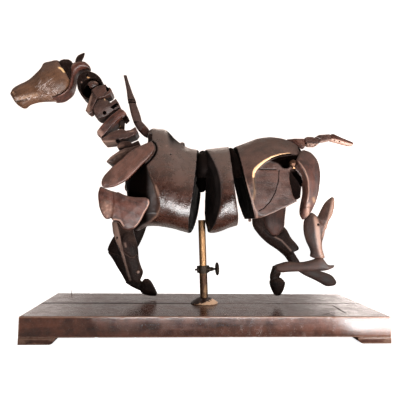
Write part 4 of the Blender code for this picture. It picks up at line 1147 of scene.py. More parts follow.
# %% Spine blocks, and the rod's seat in the loin ring
blanks["front_spine_block"] = limb("front_spine", [
    (-8, 149, 8, 150, -2, 12), (-15, 141, 16, 142, -2, 25), (-19, 127, 22, 128, -2, 33),
    (-19, 113, 24, 114, -2, 34), (-16, 100, 20, 101, -2, 29), (-9, 90, 12, 91, -2, 17)], ends=(0.6, 0.9), square=1.0)
lower_end = limb("front_spine_low", [
    (-12, 96, 12, 97, 4, 18), (-13, 80, 13, 81, 4, 22), (-8, 68, 8, 69, 4, 14)], ends=(0.5, 0.9), square=1.0)
saw(blanks["front_spine_block"], lower_end, "UNION")
blanks["rear_spine_block"] = limb("rear_spine", [
    (58, 160, 70, 158, 0, 12), (56, 146, 80, 145, 0, 24), (58, 128, 88, 127, 0, 28), (62, 112, 92, 111, 0, 22),
    (68, 104, 88, 103, 0, 12)], ends=(0.6, 0.9), square=1.0)
fit("front_spine_block", "thorax", "loin_ring")
fit("rear_spine_block", "loin_ring", "pelvis")
tube_seat = turned("seat", [(0, 0), (8.2, 0), (8.2, 181.99), (0, 181.99)], ROD_FOOT, LEAN)
saw(blanks["loin_ring"], tube_seat)
print("trunk blanks:", {name: len(piece.data.vertices) for name, piece in blanks.items()})

# %% [markdown]
# ## Head
#
# The face is one mid brown block with a blunt nose, a mouth line with a small chin under it, and a broken
# corner of pale wood at the back of the brow. Behind it sit a dark poll block, a thin curved jaw plate and the
# one ear that is left.

# %% Saw the head
blanks["face"] = limb("face", [
    (-421, 272, -420, 263, 0, 7), (-415, 281, -411, 249, 0, 15), (-402, 290, -402, 241, 0, 19),
    (-391, 296, -392, 238, 0, 19), (-380, 304, -382, 246, 0, 18), (-366, 318.5, -366, 252, 0, 20),
    (-355.5, 330, -353, 254.5, 0, 25), (-351, 339, -347, 255, 0, 27), (-338, 342.5, -336, 256, 0, 31),
    (-322, 345.5, -322, 258, 0, 32), (-309, 333, -307, 268, 0, 29), (-299, 316, -299, 274, 0, 25),
    (-292.5, 304, -293, 285, 0, 16)], ends=(0.5, 0.2), square=0.85, rings=56)
saw(blanks["face"], wedge([(-317, 350), (-316, 338), (-311, 327), (-303, 317), (-296, 308), (-290, 302),
                           (-285, 350)], -60, 60))
blanks["poll_block"] = board("poll", [
    (-318, 338), (-314, 343), (-307.6, 345.6), (-297, 345), (-290, 341), (-287, 331), (-290, 315), (-289, 300),
    (-296, 299), (-303, 311), (-312, 325)], 0, 19, edge=4, crown=2)
blanks["jaw_plate"] = limb("jaw", [
    (-254, 328, -255, 338, 0, 11), (-261, 328.5, -262, 343.5, 0, 17), (-270, 326, -272, 344, 0, 21),
    (-277.5, 319.5, -284, 341, 0, 22), (-281.5, 312, -292, 334, 0, 22), (-284, 304, -292.5, 320, 0, 21),
    (-286, 294, -292, 305, 0, 21), (-288, 285, -293, 292, 0, 21), (-292, 276, -297, 281, 0, 22),
    (-301, 267, -304, 271, 0, 22), (-313, 259, -314, 265, 0, 22), (-328, 256, -328, 261, 0, 19)], ends=(0.4, 0.4),
    square=0.7, rings=48)
blanks["ear"] = board("ear", [(-284, 336), (-282, 347), (-278, 354), (-270, 359), (-263, 362), (-265, 353),
                              (-269, 344), (-275, 337)], -14, 4, edge=2.5, crown=1)
fit("poll_block", "face")
fit("jaw_plate", "face", "poll_block")
fit("ear", "jaw_plate", "poll_block")
print("head blanks:", list(blanks)[-4:])

# %% [markdown]
# ## Neck
#
# The neck's blocks once carried a padded neck and now show their odd shapes: a cup with a small knob in it,
# wedges with chipped horns, a tilted plate and a leaf on the chest. They are sawn from boards across the neck.

# %% Saw the upper neck
blanks["neck_cup"] = board("cup", [
    (-275, 306), (-269, 313), (-258, 319), (-246, 318), (-235, 313), (-226, 304), (-222, 293), (-226, 277),
    (-235, 260), (-249, 254), (-263, 261), (-270, 270), (-275, 280), (-277, 293)],
    0, 21, edge=2, crown=0, smooth=True)
saw(blanks["neck_cup"], wedge(oval(-246, 281, 22, 23), -60, 4))
blanks["neck_knob"] = board("knob", [
    (-254, 292), (-247, 298), (-236, 298), (-230, 291), (-236, 284), (-248, 283)], -9, 12, edge=3, smooth=True)
upper = board("upper", [(-244, 275), (-233, 285), (-215, 290), (-203, 281), (-201, 275), (-204, 268), (-215, 262),
                        (-226, 258), (-235, 260)], -4, 23, edge=1.4, crown=0, lean=(0.05, 0.1))
saw(upper, wedge([(-214, 292), (-211, 290), (-206, 279), (-210, 272), (-213, 279)], -60, -14))
saw(upper, board("prong", [(-243, 276), (-249, 257), (-253, 242), (-256, 231), (-248, 225), (-242, 228), (-239, 243),
                           (-233, 257), (-228, 264)], -8, 15, edge=1.4, crown=0), "UNION")
blanks["neck_upper_block"] = upper
print("upper neck blanks:", list(blanks)[-3:])

# %% Saw the lower neck
blanks["neck_second_block"] = board("second", [
    (-240, 236), (-238, 244), (-228, 257), (-216, 260), (-206, 252), (-198, 250), (-197, 255), (-192, 260),
    (-186, 251), (-181, 240), (-196, 233), (-205, 225), (-215, 218), (-228, 215), (-235, 219), (-238, 228)],
    0, 24, edge=3, crown=4)
tilted = board("tilted", [
    (-181, 237), (-174, 233), (-168, 227), (-179, 217), (-187, 210), (-197, 199), (-207, 187), (-220, 173),
    (-228, 178), (-229, 185), (-223, 194), (-212, 208), (-200, 221)], 0, 29, edge=1.2, crown=0)
end_block = board("tilted_end", [(-178, 218), (-170, 224), (-164, 220), (-172, 212)], -6, 18, edge=1, crown=0)
saw(tilted, end_block, "UNION")
blanks["neck_tilted_plate"] = tilted
broad = board("broad", [
    (-219, 168), (-201, 184), (-188, 189), (-177, 193), (-168, 189), (-157, 191), (-148, 198), (-143, 189),
    (-148, 181), (-158, 176), (-166, 172), (-176, 171), (-186, 165), (-201, 163), (-215, 161)],
    0, 30, edge=1.2, crown=0, lean=(0, 0.12))
saw(broad, limb("post", [(-186, 192, -174, 190, -6, 10), (-187, 214, -173, 213, -6, 10)], ends=(0.2, 0.2)), "UNION")
blanks["neck_broad_block"] = broad
blanks["neck_low_block"] = board("low", [
    (-186, 153), (-184, 160), (-174, 167), (-160, 166), (-155, 162), (-147, 166), (-141, 169), (-137, 161),
    (-151, 154), (-170, 149), (-183, 148)], -4, 24, edge=1.4, crown=0, lean=(0, 0.1))
blanks["neck_leaf_plate"] = board("leaf", [
    (-206, 119), (-198, 129), (-181, 142), (-168, 149), (-154, 152), (-136, 158), (-138, 130), (-160, 112),
    (-181, 112), (-195, 114)], 0, 40, edge=2.5, crown=2)
fit("neck_cup", "jaw_plate")
fit("neck_knob", "neck_cup")
fit("neck_upper_block", "neck_cup", "neck_knob")
fit("neck_second_block", "neck_upper_block", "neck_cup")
fit("neck_tilted_plate", "neck_second_block")
fit("neck_broad_block", "neck_tilted_plate")
fit("neck_low_block", "neck_broad_block")
fit("neck_leaf_plate", "neck_low_block", "thorax")
fit("neck_low_block", "thorax")
print("lower neck blanks:", list(blanks)[-5:])

# %% [markdown]
# ## Crest
#
# The tapered strip that stands up free behind the neck is made of five lengths, glued end to end. Each is cut
# back to the one above it, so the joints stay as fine dark lines. One long strip with drawn lines would look much
# the same, but its lengths couldn't be used one by one.

# %% Saw the crest
CREST = {
    "crest_tip": [(-180, 319.5, -173, 320.5, 0, 3.5), (-173, 290, -163, 291, 0, 4), (-169, 262, -151, 262, 0, 6)],
    "crest_band": [(-169, 264, -151, 264, 0, 6), (-168, 257, -150, 257, 0, 6)],
    "crest_length": [(-167, 257, -150.5, 258, 0, 6), (-161.5, 233, -142, 235, 0, 7),
                     (-154.5, 212, -136.5, 216, 0, 7)],
    "crest_root": [(-154, 212, -136.5, 216.5, 0, 6.5), (-148, 201.5, -131.5, 211, 0, 7),
                   (-141.8, 193.5, -128.5, 208, 0, 7)],
    "crest_foot": [(-142, 194, -128.5, 208, 0, 7), (-136, 187.5, -121.5, 200, 0, 8),
                   (-129.5, 182.3, -119, 192, 0, 8), (-126, 181, -119.5, 185, 0, 6)],
}
above = None
for node, ribs in CREST.items():
    blanks[node] = limb(node + "_blank", ribs, ends=(0, 0.5 if node == "crest_foot" else 0), square=0.7, rings=14)
    if above:
        fit(node, above)
    above = node
fit("crest_foot", "thorax")
print("crest lengths:", list(CREST))

# %% [markdown]
# ## Fore limbs
#
# The shoulder blade and the upper arm are curved boards that swing over the thorax. The near forearm ends at its
# knee, where the rest of the leg is lost, and the far leg still reaches its hoof. The far boards are the near ones
# shifted a little, as they are a pair.

# %% Saw the shoulder boards and the near forearm
BLADE = np.array([(-133, 150), (-117, 158), (-111, 160), (-106, 153), (-104.5, 144), (-109, 134), (-118, 122),
                  (-130, 109), (-144, 93), (-158, 78), (-177, 66), (-191, 62), (-204, 62), (-208, 72), (-203, 86),
                  (-186, 106), (-169, 122), (-152, 139)], float)
ARM = np.array([(-211, 62), (-214, 48), (-213, 34), (-210, 20), (-205, 8), (-199, 0), (-193, -2), (-188, 1),
                (-184, -4), (-180, -8), (-175, -8), (-170, -11), (-165, -18), (-157, -22), (-146, -22), (-138, -17),
                (-131, -9), (-125, 2), (-121, 11), (-115, 21), (-111, 31), (-113, 39), (-120, 43), (-134, 43),
                (-154, 45), (-176, 52), (-194, 57), (-207, 63)], float)
blanks["near_shoulder_blade"] = board("near_blade", BLADE, -66, 7, lean=(-0.06, 0.20), smooth=True)
blanks["near_upper_arm"] = board("near_arm", ARM, -70, 9, edge=4, crown=3, smooth=True)
blanks["far_shoulder_blade"] = board("far_blade", BLADE + (28, 4), 68, 7, lean=(0.06, -0.20), smooth=True)
blanks["far_upper_arm"] = board("far_arm", ARM + (14, 0), 68, 9, edge=4, crown=3, smooth=True)
blanks["near_forearm"] = limb("near_forearm", [
    (-187, -10, -146, -6, -52, 14), (-184, -30, -142, -33, -54, 17), (-177, -50, -136, -49, -56, 17),
    (-170, -68, -133, -65, -57, 16), (-163, -84, -131, -82, -57, 14), (-158, -100, -126, -98, -56, 13),
    (-155, -113, -122, -109, -56, 12), (-148, -126, -127, -124, -56, 10)], rings=40)
print("shoulder and forearm blanks:", list(blanks)[-5:])

# %% Saw the far fore leg
blanks["far_forearm"] = limb("far_forearm", [
    (-166, 2, -122, -8, 52, 16), (-184, -20, -130, -34, 54, 17), (-199, -40, -142, -62, 55, 15),
    (-209, -58, -158, -84, 55, 13), (-213, -70, -176, -92, 55, 11)], square=0.7)
blanks["far_fore_cannon"] = limb("far_fore_cannon", [
    (-212, -77, -176, -84, 54, 11), (-202, -91, -160, -98, 54, 10), (-190, -110, -150, -112, 53, 9),
    (-179, -127, -146, -126, 52, 9), (-170, -143, -141, -136, 52, 9)], square=0.7)
blanks["far_fore_pastern"] = limb("far_fore_pastern", [
    (-169, -146, -148, -134, 52, 9), (-157, -154, -138, -139, 52, 9), (-145, -160, -133, -143, 52, 10),
    (-136, -164, -131, -148, 52, 9)], square=0.7)
blanks["far_fore_hoof"] = board("far_hoof", [
    (-135, -150), (-132, -143), (-127, -138), (-118, -138), (-111, -144), (-103, -158), (-97, -170), (-99, -174.6),
    (-112, -174.6), (-126, -172), (-134, -166)], 52, 14, edge=5, crown=2)
fit("near_shoulder_blade", "thorax")
fit("near_upper_arm", "thorax", "near_shoulder_blade")
fit("far_shoulder_blade", "thorax")
fit("far_upper_arm", "thorax", "far_shoulder_blade")
fit("near_forearm", "near_upper_arm", "thorax")
fit("far_forearm", "far_upper_arm", "thorax")
fit("far_fore_cannon", "far_forearm")
fit("far_fore_pastern", "far_fore_cannon")
fit("far_fore_hoof", "far_fore_pastern")
print("far fore leg blanks:", list(blanks)[-4:])

# %% [markdown]
# ## Hind limbs
#
# The near thigh is a curved shell hung on a brass ball. Its gaskin is a forked piece with a long back prong, and
# the leg goes on to its hoof. The far leg ends at its fetlock. All are limbs drawn by ribs, and the prong is
# joined on, because one set of ribs can't fork.

# %% Saw the near hind leg
hip = ball((187, -61, 122), 8.2)
saw(hip, ball((190, -60, 113), 4.6), "UNION")
blanks["brass_hip_ball"] = hip
blanks["near_thigh"] = limb("near_thigh", [
    (206, 147, 216, 152, -50, 6), (200, 140, 227, 147, -51, 11), (193, 130, 236, 136, -53, 15),
    (194, 119, 242, 123, -54, 18), (201, 106, 245, 106, -54, 20), (208, 92, 245, 91, -54, 20),
    (212, 76, 243.5, 75, -53, 20), (213, 58, 241, 57, -52, 19), (210, 42, 237, 40, -50, 17),
    (207.5, 27, 233, 28, -47, 13), (208.5, 14, 227, 16, -45, 11), (214, 4, 221, 8, -43, 7)], ends=(0.5, 0.3),
    square=0.55, rings=52, sides=48)
gaskin = limb("near_gaskin", [
    (228, 15, 235, 18, -44, 6), (219, 6, 243, 12, -44, 11), (216.5, -9, 261, -9, -43, 14),
    (218, -25, 261, -27, -41, 14), (223, -42, 257, -44, -39, 13), (231, -57, 258, -57, -37, 11),
    (234, -66, 262, -68, -35, 10), (233, -74, 265, -77, -34, 9)], rings=36)
saw(gaskin, limb("prong", [
    (276, 53, 282, 52, -42, 4), (265, 43, 284, 44, -42, 7), (257, 30, 282.5, 28, -42, 9),
    (250, 15, 278, 13, -42, 10), (244, 4, 271, 2, -42, 11), (243, -12, 266, -14, -41, 11)], rings=30), "UNION")
blanks["near_gaskin"] = gaskin
blanks["near_hind_cannon"] = limb("near_hind_cannon", [
    (286, -93, 284, -99, -34, 4), (272, -92, 272, -104, -33, 8), (256, -74, 262, -106, -32, 10),
    (244, -81, 245, -107, -29, 10), (222, -88, 222, -109, -20, 10), (192, -89, 192, -112, -8, 9.5),
    (177, -93, 179, -114, -2, 10), (167, -97, 169, -110, 2, 10)], rings=40)
blanks["near_hind_pastern"] = limb("near_hind_pastern", [
    (161, -101, 176, -107, 4, 9), (158, -113, 180, -116, 6, 10), (156, -122, 178, -123, 8, 9),
    (156, -130, 176, -128, 9, 9)])
blanks["near_hind_hoof"] = limb("near_hind_hoof", [
    (160, -129, 183, -128, 10, 11), (156, -136, 190, -137, 11, 15), (158, -147, 189, -147, 12, 15),
    (163, -158, 186, -157, 13, 13), (168, -166, 181, -165, 14, 9)], ends=(0.2, 0.2))
print("near hind leg blanks:", list(blanks)[-6:])

# %% Saw the far hind leg and the peg
blanks["far_thigh"] = limb("far_thigh", [
    (158, 136, 182, 138, 66, 8), (150, 110, 200, 112, 68, 12), (146, 70, 207, 72, 66, 15),
    (146, 36, 206, 36, 60, 18), (147, 8, 201, 8, 52, 19), (152, -14, 198, -12, 47, 16),
    (165, -30, 187, -28, 45, 10)])
blanks["far_gaskin"] = limb("far_gaskin", [
    (123, 4, 152, 16, 52, 10), (126, -14, 178, 0, 53, 14), (142, -35, 204, -16, 54, 16),
    (162, -53, 217, -38, 55, 15), (185, -68, 233, -55, 56, 13), (200, -80, 237, -66, 58, 11),
    (206, -86, 224, -69, 59, 10), (210, -92, 228, -76, 60, 10), (216, -99, 240, -94, 61, 9)])
blanks["far_hind_cannon"] = limb("far_hind_cannon", [
    (216, -95, 226, -112, 62, 10), (241, -100, 238, -119, 63, 10), (265, -109, 259, -131, 65, 10),
    (290, -117, 282, -141, 67, 11), (311, -123, 300, -151, 68, 11), (324, -130, 312, -155, 69, 11),
    (332, -141, 325, -153, 70, 9)])
blanks["belly_peg"] = limb("peg", [(108, 10, 115, 10, 20, 3), (108, -1, 115, -1, 20, 3)], rings=4)
fit("pelvis", "brass_hip_ball")
fit("near_thigh", "brass_hip_ball", "pelvis")
fit("near_gaskin", "near_thigh")
fit("near_hind_cannon", "near_gaskin")
fit("near_hind_pastern", "near_hind_cannon")
fit("near_hind_hoof", "near_hind_pastern")
fit("far_thigh", "pelvis")
fit("far_gaskin", "far_thigh", "pelvis")
fit("far_hind_cannon", "far_gaskin", "near_hind_cannon")
fit("belly_peg", "pelvis")
print("far hind leg blanks:", list(blanks)[-4:])

# %% [markdown]
# ## Tail
#
# Four short lengths, a little out of line with each other, each with its own angular outline. They are sawn from
# thin boards like the neck's, since their sides are flat.

# %% Saw the tail
blanks["tail_dock"] = board("dock", [(189, 181), (190, 185), (208, 187), (229, 187.5), (231, 178), (232, 171),
                                     (229, 165), (217, 170), (206, 176)], 0, 8, edge=1.6, crown=1)
blanks["tail_second"] = board("second", [
    (230.5, 186), (235, 192), (248, 192.5), (265, 187), (267, 181), (260, 174), (255, 170.5), (239, 170.5),
    (233, 175)], 0, 8, edge=2.2, crown=1)
blanks["tail_third"] = board("third", [(256, 192), (264, 197.5), (289, 199.8), (293, 193.5), (292, 186), (278, 182),
                                       (265, 180), (266, 187)], 0, 7, edge=2, crown=1)
blanks["tail_tip"] = board("tip", [
    (291, 199.4), (297, 201), (322, 191), (344, 183), (346, 179.5), (341, 173.6), (320, 177.6), (304, 181.8),
    (291.6, 185)], 0, 6.5, edge=2, crown=1)
fit("tail_dock", "pelvis")
fit("tail_second", "tail_dock")
fit("tail_third", "tail_second")
fit("tail_tip", "tail_third")
print("horse blanks sawn:", len(blanks))

# %% [markdown]
# ## Carving the detail
#
# Every blank is now divided finely, about two millimetres apart on the trunk and nearer one on small pieces. Then
# each gets its own strokes: ridges rubbed pale, dirt and painted shade in the gaps, painted light in a few places,
# and the cuts the tool left.

# %% Divide every wooden blank
FINE = {"thorax": 2.0, "pelvis": 1.75, "loin_ring": 2.0, "face": 1.25, "near_shoulder_blade": 1.3,
        "near_upper_arm": 1.3, "far_shoulder_blade": 2.4, "far_upper_arm": 2.4, "near_forearm": 1.2,
        "far_forearm": 1.8, "near_thigh": 1.3, "far_thigh": 2.2, "near_gaskin": 1.2, "far_gaskin": 1.4,
        "neck_leaf_plate": 1.4, "far_fore_cannon": 1.6, "far_hind_cannon": 1.6, "near_hind_cannon": 1.4}
SMALL = 1.15
carvings = {}
for node, piece in blanks.items():
    crisp = node.startswith(("neck", "crest")) or node in ("near_thigh", "near_gaskin", "pelvis", "loin_ring")
    sand(piece, FINE.get(node, SMALL), 1 if crisp else 3)
    carvings[node] = Carving(piece)
print("points on the wood:", sum(len(c.points) for c in carvings.values()))

# %% [markdown]
# ### Thorax
#
# The ridge where the shoulder swings is rubbed pale in places, a groove follows the shoulder blade's edge with its
# shadow painted dark in it, and a peg hole shows in the flank, painted dark inside. The flat in front of the ridge
# lies in shade and dirt, which the shader can't know, so both are painted dark on it, and the rear end, which faces
# the gap, is painted dark as shade.

# %% Thorax: the ridge, a groove, a peg hole and dents
thorax = carvings["thorax"]
thorax.stripe("rubbed_and_lit", RIDGE, 1.6, 3.0, NEAR, 0.35)
thorax.stripe("rubbed_and_lit", [(-101, 65), (-97, 56), (-95, 48)], 3.5, 4.0, NEAR, 0.55)
# The groove's dark is a painted shadow line along the blade's edge, with dirt.
thorax.groove([(-110, 164), (-103.5, 158), (-100.5, 151), (-100, 143), (-103, 134), (-111, 122), (-124, 109),
               (-139, 93)], 3.2, 1.5, grime_and_shade=1.6)
thorax.dent((-70, 136), 2.6, 3.5, grime_and_shade=1.0)
for spot in ((-97, 151), (-81, 153), (-71, 147)):
    thorax.stripe("rubbed_and_lit", [spot, (spot[0] + 2, spot[1] + 1)], 1.0, 1.5, NEAR, 0.6)
# Painted shade and dirt on the flat in front of the ridge.
in_scoop = thorax.inside(RIDGE + SHOULDER_EDGE, 6) * np.clip(-thorax.normals[:, 1] * 3, 0, 1)
thorax.brush("grime_and_shade", in_scoop * np.clip((-92 - thorax.points[:, 0]) / 30, 0.15, 0.95))
thorax.stripe("rubbed_and_lit", [(-91, 22), (-96, 6), (-110, -5), (-124, -15)], 1.0, 1.6, NEAR, 0.55)
# Painted shade on the rear end, which faces the gap.
thorax.brush("grime_and_shade", np.clip((thorax.normals[:, 0] - 0.4) * 4, 0, 1))
print("thorax rubbed points:", int((thorax.masks["rubbed_and_lit"] > 0.3).sum()))

# %% [markdown]
# ### Loin ring and spine blocks
#
# The gaps between the barrels read as black, because light hardly gets in. That shade is painted on the ends as a
# dark mask, which is surer than shadow alone, since it also holds in other light.

# %% Loin ring and spine blocks: painted shade where the gaps are
loin = carvings["loin_ring"]
# Painted shade on the ring's front and rear faces, which face the gaps.
loin.brush("grime_and_shade", np.clip((-loin.normals[:, 0] - 0.55) * 3, 0, 1) * 0.8)
loin.brush("grime_and_shade", np.clip((loin.normals[:, 0] - 0.6) * 3, 0, 1) * 0.8)
# Painted shade on the spine blocks, darkest on their lower ends.
for node, share in (("front_spine_block", 0.85), ("rear_spine_block", 0.8)):
    block = carvings[node]
    block.brush("grime_and_shade", np.where(block.points[:, 2] < 92, 1.0, share))
print("loin ring dark points:", int((loin.masks["grime_and_shade"] > 0.5).sum()))

# %% [markdown]
# ### Pelvis
#
# An arch cut over the thigh shows bare yellow wood along its rim, with shade painted dark on the bevel and under it.
# A scribed arc and a saw cut cross the haunch with their shadow painted dark in them, and the sockets behind are
# painted dark as shade, with a pale lit rim painted round the cavity. The front face in the gap is painted dark as
# shade too. The arch is found by its outline, so it stays on its bevel.

# %% Pelvis: the bare arch, a saw cut, the scribed arc and the dark sockets
pelvis = carvings["pelvis"]
bevel = pelvis.inside(ARCH_OUTER + ARCH_INNER[::-1], 1.5) * (pelvis.points[:, 1] < -61.6)
strip_wide = np.interp(pelvis.points[:, 0], (104, 125, 150, 200), (6.0, 5.0, 2.2, 0.9))
strip = np.clip(strip_wide - pelvis.distance(ARCH_OUTER) + 0.5, 0, 1)
pelvis.brush("bare_and_glint", bevel * strip)
# Painted shade on the bevel beyond the bare strip.
pelvis.brush("grime_and_shade", bevel * (1 - strip) * np.clip((pelvis.points[:, 0] - 118) / 20, 0, 0.95))
# Painted shade under the arch.
under_arch = [(136, 126), (156, 136), (180, 140), (220, 144), (208, 128), (186, 116), (176, 110), (165, 111),
              (155, 120)]
pelvis.brush("grime_and_shade", pelvis.inside(under_arch, 5) * 0.95 * (pelvis.points[:, 1] < -40)
             * (pelvis.distance(ARCH_OUTER) > 1))
# The saw cut and the scribed lines, with their shadow painted dark in them.
pelvis.groove([(114, 108), (151, 108)], 1.5, 1.0, grime_and_shade=2.4)
pelvis.groove([(158, 107), (156, 82), (149, 58), (139, 40), (126, 26), (115, 20)], 1.5, 0.5, grime_and_shade=1.4)
pelvis.groove([(105, 98), (106, 85), (108, 66)], 1.8, 0.7, grime_and_shade=0.7)
pelvis.stripe("bare_and_glint", [(103, 95), (104, 76), (106, 60), (103, 46)], 2.4, 5.0, NEAR, 0.16)
front_edge = [(64, 143), (74, 120), (82, 98), (90, 73), (99, 46), (106, 27), (111, 17), (113, 5)]
pelvis.stripe("rubbed_and_lit", front_edge, 1.2, 1.5, NEAR, 0.6)
pelvis.stripe("rubbed_and_lit", BELLY_LINE, 0.8, 1.2, NEAR, 0.7)
# Painted shade in the sockets, with a painted lit rim round the cavity.
sunk = (pelvis.points[:, 1] < -20) * (pelvis.points[:, 1] > -59.5)
pelvis.brush("grime_and_shade", sunk * pelvis.inside(CAVITY, 3) * 0.72)
pelvis.stripe("rubbed_and_lit", CAVITY[-3:] + CAVITY[:2], 0.7, 1.2, None, 0.4)
pelvis.brush("grime_and_shade", sunk * pelvis.inside([(152, 132), (182, 138), (182, 108), (160, 108)], 3) * 0.9)
# Painted shade on the front face in the gap, and where the pelvis meets the tail.
pelvis.brush("grime_and_shade", np.clip((-pelvis.normals[:, 0] - 0.4) * 3, 0, 1))
pelvis.brush("grime_and_shade", pelvis.inside([(206, 165), (224, 160), (222, 146), (206, 151)], 2.0))
print("pelvis bare wood points:", int((pelvis.masks["bare_and_glint"] > 0.5).sum()))

# %% [markdown]
# ### Head
#
# The face has been handled most: its cheek and jaw are covered in fine pale scratches, and raw wood shows in the
# broken corner behind the brow. The scratches are drawn one by one from a seeded run of random numbers, which
# looks less even than a noise and comes out the same each time.

# %% Face: mouth, chin, nostril, scuffs and the broken corner
face = carvings["face"]
mouth = [(-425, 255), (-408, 250), (-399, 249), (-388, 251), (-378, 257)]
for side in (NEAR, FAR):
    face.groove(mouth, 2.4, 1.5, side, grime_and_shade=0.7)
    face.dent((-409, 267), 3.6, 1.8, side, grime_and_shade=0.3)
    face.groove([(-345, 262), (-330, 258), (-313, 268), (-303, 288), (-303, 308)], 4.5, 0.9, side, grime_and_shade=0.0)
cheek = np.clip(1 - face.distance([(-340, 272), (-320, 264)]) / 24, 0, 1)
face.brush("scuff_and_highlight", np.clip(cheek * 1.2, 0, 0.82))
# The pale band along the lower edge is partly scuffs and partly a painted highlight.
face.stripe("scuff_and_highlight", [(-412, 251), (-391, 256), (-375, 261), (-362, 264), (-348, 262)], 5.0, 4.0, None, 0.82)
face.stripe("scuff_and_highlight", [(-352, 290), (-344, 284)], 5.0, 6.0, NEAR, 0.6)
face.stripe("scuff_and_highlight", [(-336, 292), (-326, 290)], 5.0, 6.0, NEAR, 0.5)
face.stripe("rubbed_and_lit", [(-413, 268), (-408, 264)], 2.0, 2.0, NEAR, 0.7)
# The same band's painted highlight, in the pale of rubbed wood.
face.stripe("rubbed_and_lit", [(-412, 251), (-391, 256), (-375, 261), (-362, 264)], 3.0, 4.0, NEAR, 0.6)
rng = np.random.default_rng(5)
for _ in range(26):
    start = rng.normal((-345, 279), (11, 6))
    tilt, long = rng.choice((0.75, -0.6), p=(0.75, 0.25)) + rng.normal(0, 0.12), rng.uniform(3, 9)
    end = start + long * np.array([math.cos(tilt), math.sin(tilt)])
    face.stripe("scuff_and_highlight", [start, end], 0.8, 0.8, NEAR)
for scratch in ([(-363, 280), (-351, 290.5)], [(-355, 278), (-340, 285.5), (-334, 289), (-324, 297)],
                [(-359, 272), (-351, 278.5)], [(-344, 274.5), (-339.5, 285.5)]):
    face.stripe("scuff_and_highlight", scratch, 0.9, 0.8, NEAR)
for _ in range(55):
    along = rng.uniform()
    start = np.array((-424 + 92 * along, 249 + 13 * along)) + rng.normal(0, 2.6, 2)
    face.stripe("scuff_and_highlight", [start, start + rng.uniform(1, 4) * np.array((0.9, 0.45))], 0.9, 0.8, NEAR)
face.stripe("bare_and_glint", [(-313, 321), (-309, 320), (-304, 314.5)], 2.2, 1.6, None, 0.9)
# Painted shadow in the gap behind the face, along its back edge.
back_edge = [(-318, 341), (-307, 325), (-297, 309), (-290, 298)]
face.brush("grime_and_shade", np.clip(1 - face.distance(back_edge) / 3.0, 0, 1) * 0.95)

print("face scuffed points:", int((face.masks["scuff_and_highlight"] > 0.5).sum()))

# %% Jaw and ear
jaw = carvings["jaw_plate"]
# A painted highlight along the jaw plate's edge, and a painted sheen on its upper arc.
jaw.stripe("scuff_and_highlight", [(-277.5, 311), (-281.5, 302), (-284, 292), (-286, 285)], 1.2, 1.0, None, 1.0)
jaw.stripe("rubbed_and_lit", [(-293, 330), (-284, 338)], 5.0, 6.0, NEAR, 0.35)
ear = carvings["ear"]
ear.dent((-273, 350), 5.5, 1.2, NEAR, grime_and_shade=0.2)
print("jaw scuffed points:", int((jaw.masks["scuff_and_highlight"] > 0.5).sum()))

# %% [markdown]
# ### Neck
#
# Several of the neck's blocks have one crisp crest along the middle, and a few show peg holes and small pale chips.
# The glints on the cup, the knob and the post are painted, and so are the shade in the cup, the notch, the holes and
# the recesses, and the light on the broad block's underside. A fold raises the crest with a straight slope on each
# side, which a smooth brush would round away.

# %% Upper neck: painted shade in the cup, peg holes and painted glints
cup = carvings["neck_cup"]
# Painted shade in the cup's hollow.
cup.brush("grime_and_shade", np.clip(1 - cup.distance([(-246, 281)]) / 25, 0, 1) * 4 * (cup.points[:, 1] > -19))
cup.dent((-256, 311), 3.0, 2.5, grime_and_shade=1.0)
# Painted glints on the cup.
cup.stripe("bare_and_glint", [(-254, 305), (-250, 303)], 1.4, 1.5, NEAR, 0.7)
cup.stripe("rubbed_and_lit", [(-267, 294), (-266, 293)], 1.3, 1.0, NEAR, 1.0)
knob = carvings["neck_knob"]
# A painted highlight on the knob's top.
knob.stripe("rubbed_and_lit", [(-238, 296), (-235, 294)], 1.6, 2.0, NEAR, 0.5)
upper = carvings["neck_upper_block"]
upper.groove([(-211, 274), (-215, 268), (-217, 262)], 1.6, 0.9, grime_and_shade=0.6)
upper.groove([(-244, 275), (-236, 262), (-227, 258)], 1.6, 1.0, grime_and_shade=0.9)
upper.stripe("rubbed_and_lit", [(-247, 262), (-251, 245), (-250, 231)], 4.0, 4.0, NEAR, 0.55)
# Painted shade in the notch.
upper.brush("grime_and_shade", upper.inside([(-215, 293), (-209, 290), (-204, 280), (-208, 271), (-215, 278)], 1.0)
            * (upper.points[:, 1] > -25.5))
second = carvings["neck_second_block"]
second.dent((-215, 227), 4.6, 5.0, grime_and_shade=1.6)
second.stripe("bare_and_glint", [(-216, 257), (-215, 255)], 1.2, 1.0, NEAR, 0.6)
second.fold([(-240, 232), (-222, 240), (-210, 238), (-198, 243), (-188, 248)], 12, 1.5)
# Painted shade in the recess under the horn.
second.brush("grime_and_shade", second.inside([(-203, 238), (-190, 250), (-184, 246), (-196, 235)], 2.0)
             * (second.points[:, 1] < -20))
print("cup dark points:", int((cup.masks["grime_and_shade"] > 0.5).sum()))

# %% Lower neck: crests, worn corners, painted light and shade, and the leaf
tilted = carvings["neck_tilted_plate"]
tilted.fold([(-226, 189), (-212, 203), (-202, 212), (-185, 226), (-170, 231)], 14, 2.4)
tilted.brush("grime_and_shade", tilted.inside([(-177, 217), (-169, 224), (-162, 219), (-171, 208)], 1.0) * 0.9)
tilted.stripe("rubbed_and_lit", [(-224, 184), (-217, 175)], 5.0, 5.0, NEAR, 0.45)
broad = carvings["neck_broad_block"]
broad.fold([(-216, 172), (-201, 176), (-185, 178), (-169, 184), (-150, 193)], 9, 1.4)
# Painted shade in the hole.
broad.brush("grime_and_shade", np.clip(1 - broad.distance([(-185, 166)]) / 5, 0, 1) * 3 * (broad.points[:, 1] < -12))
# The underside painted pale, partly wear and partly the light that falls on it.
broad.stripe("rubbed_and_lit", [(-216, 163), (-204, 163), (-192, 164)], 3.0, 3.0, None, 0.6)
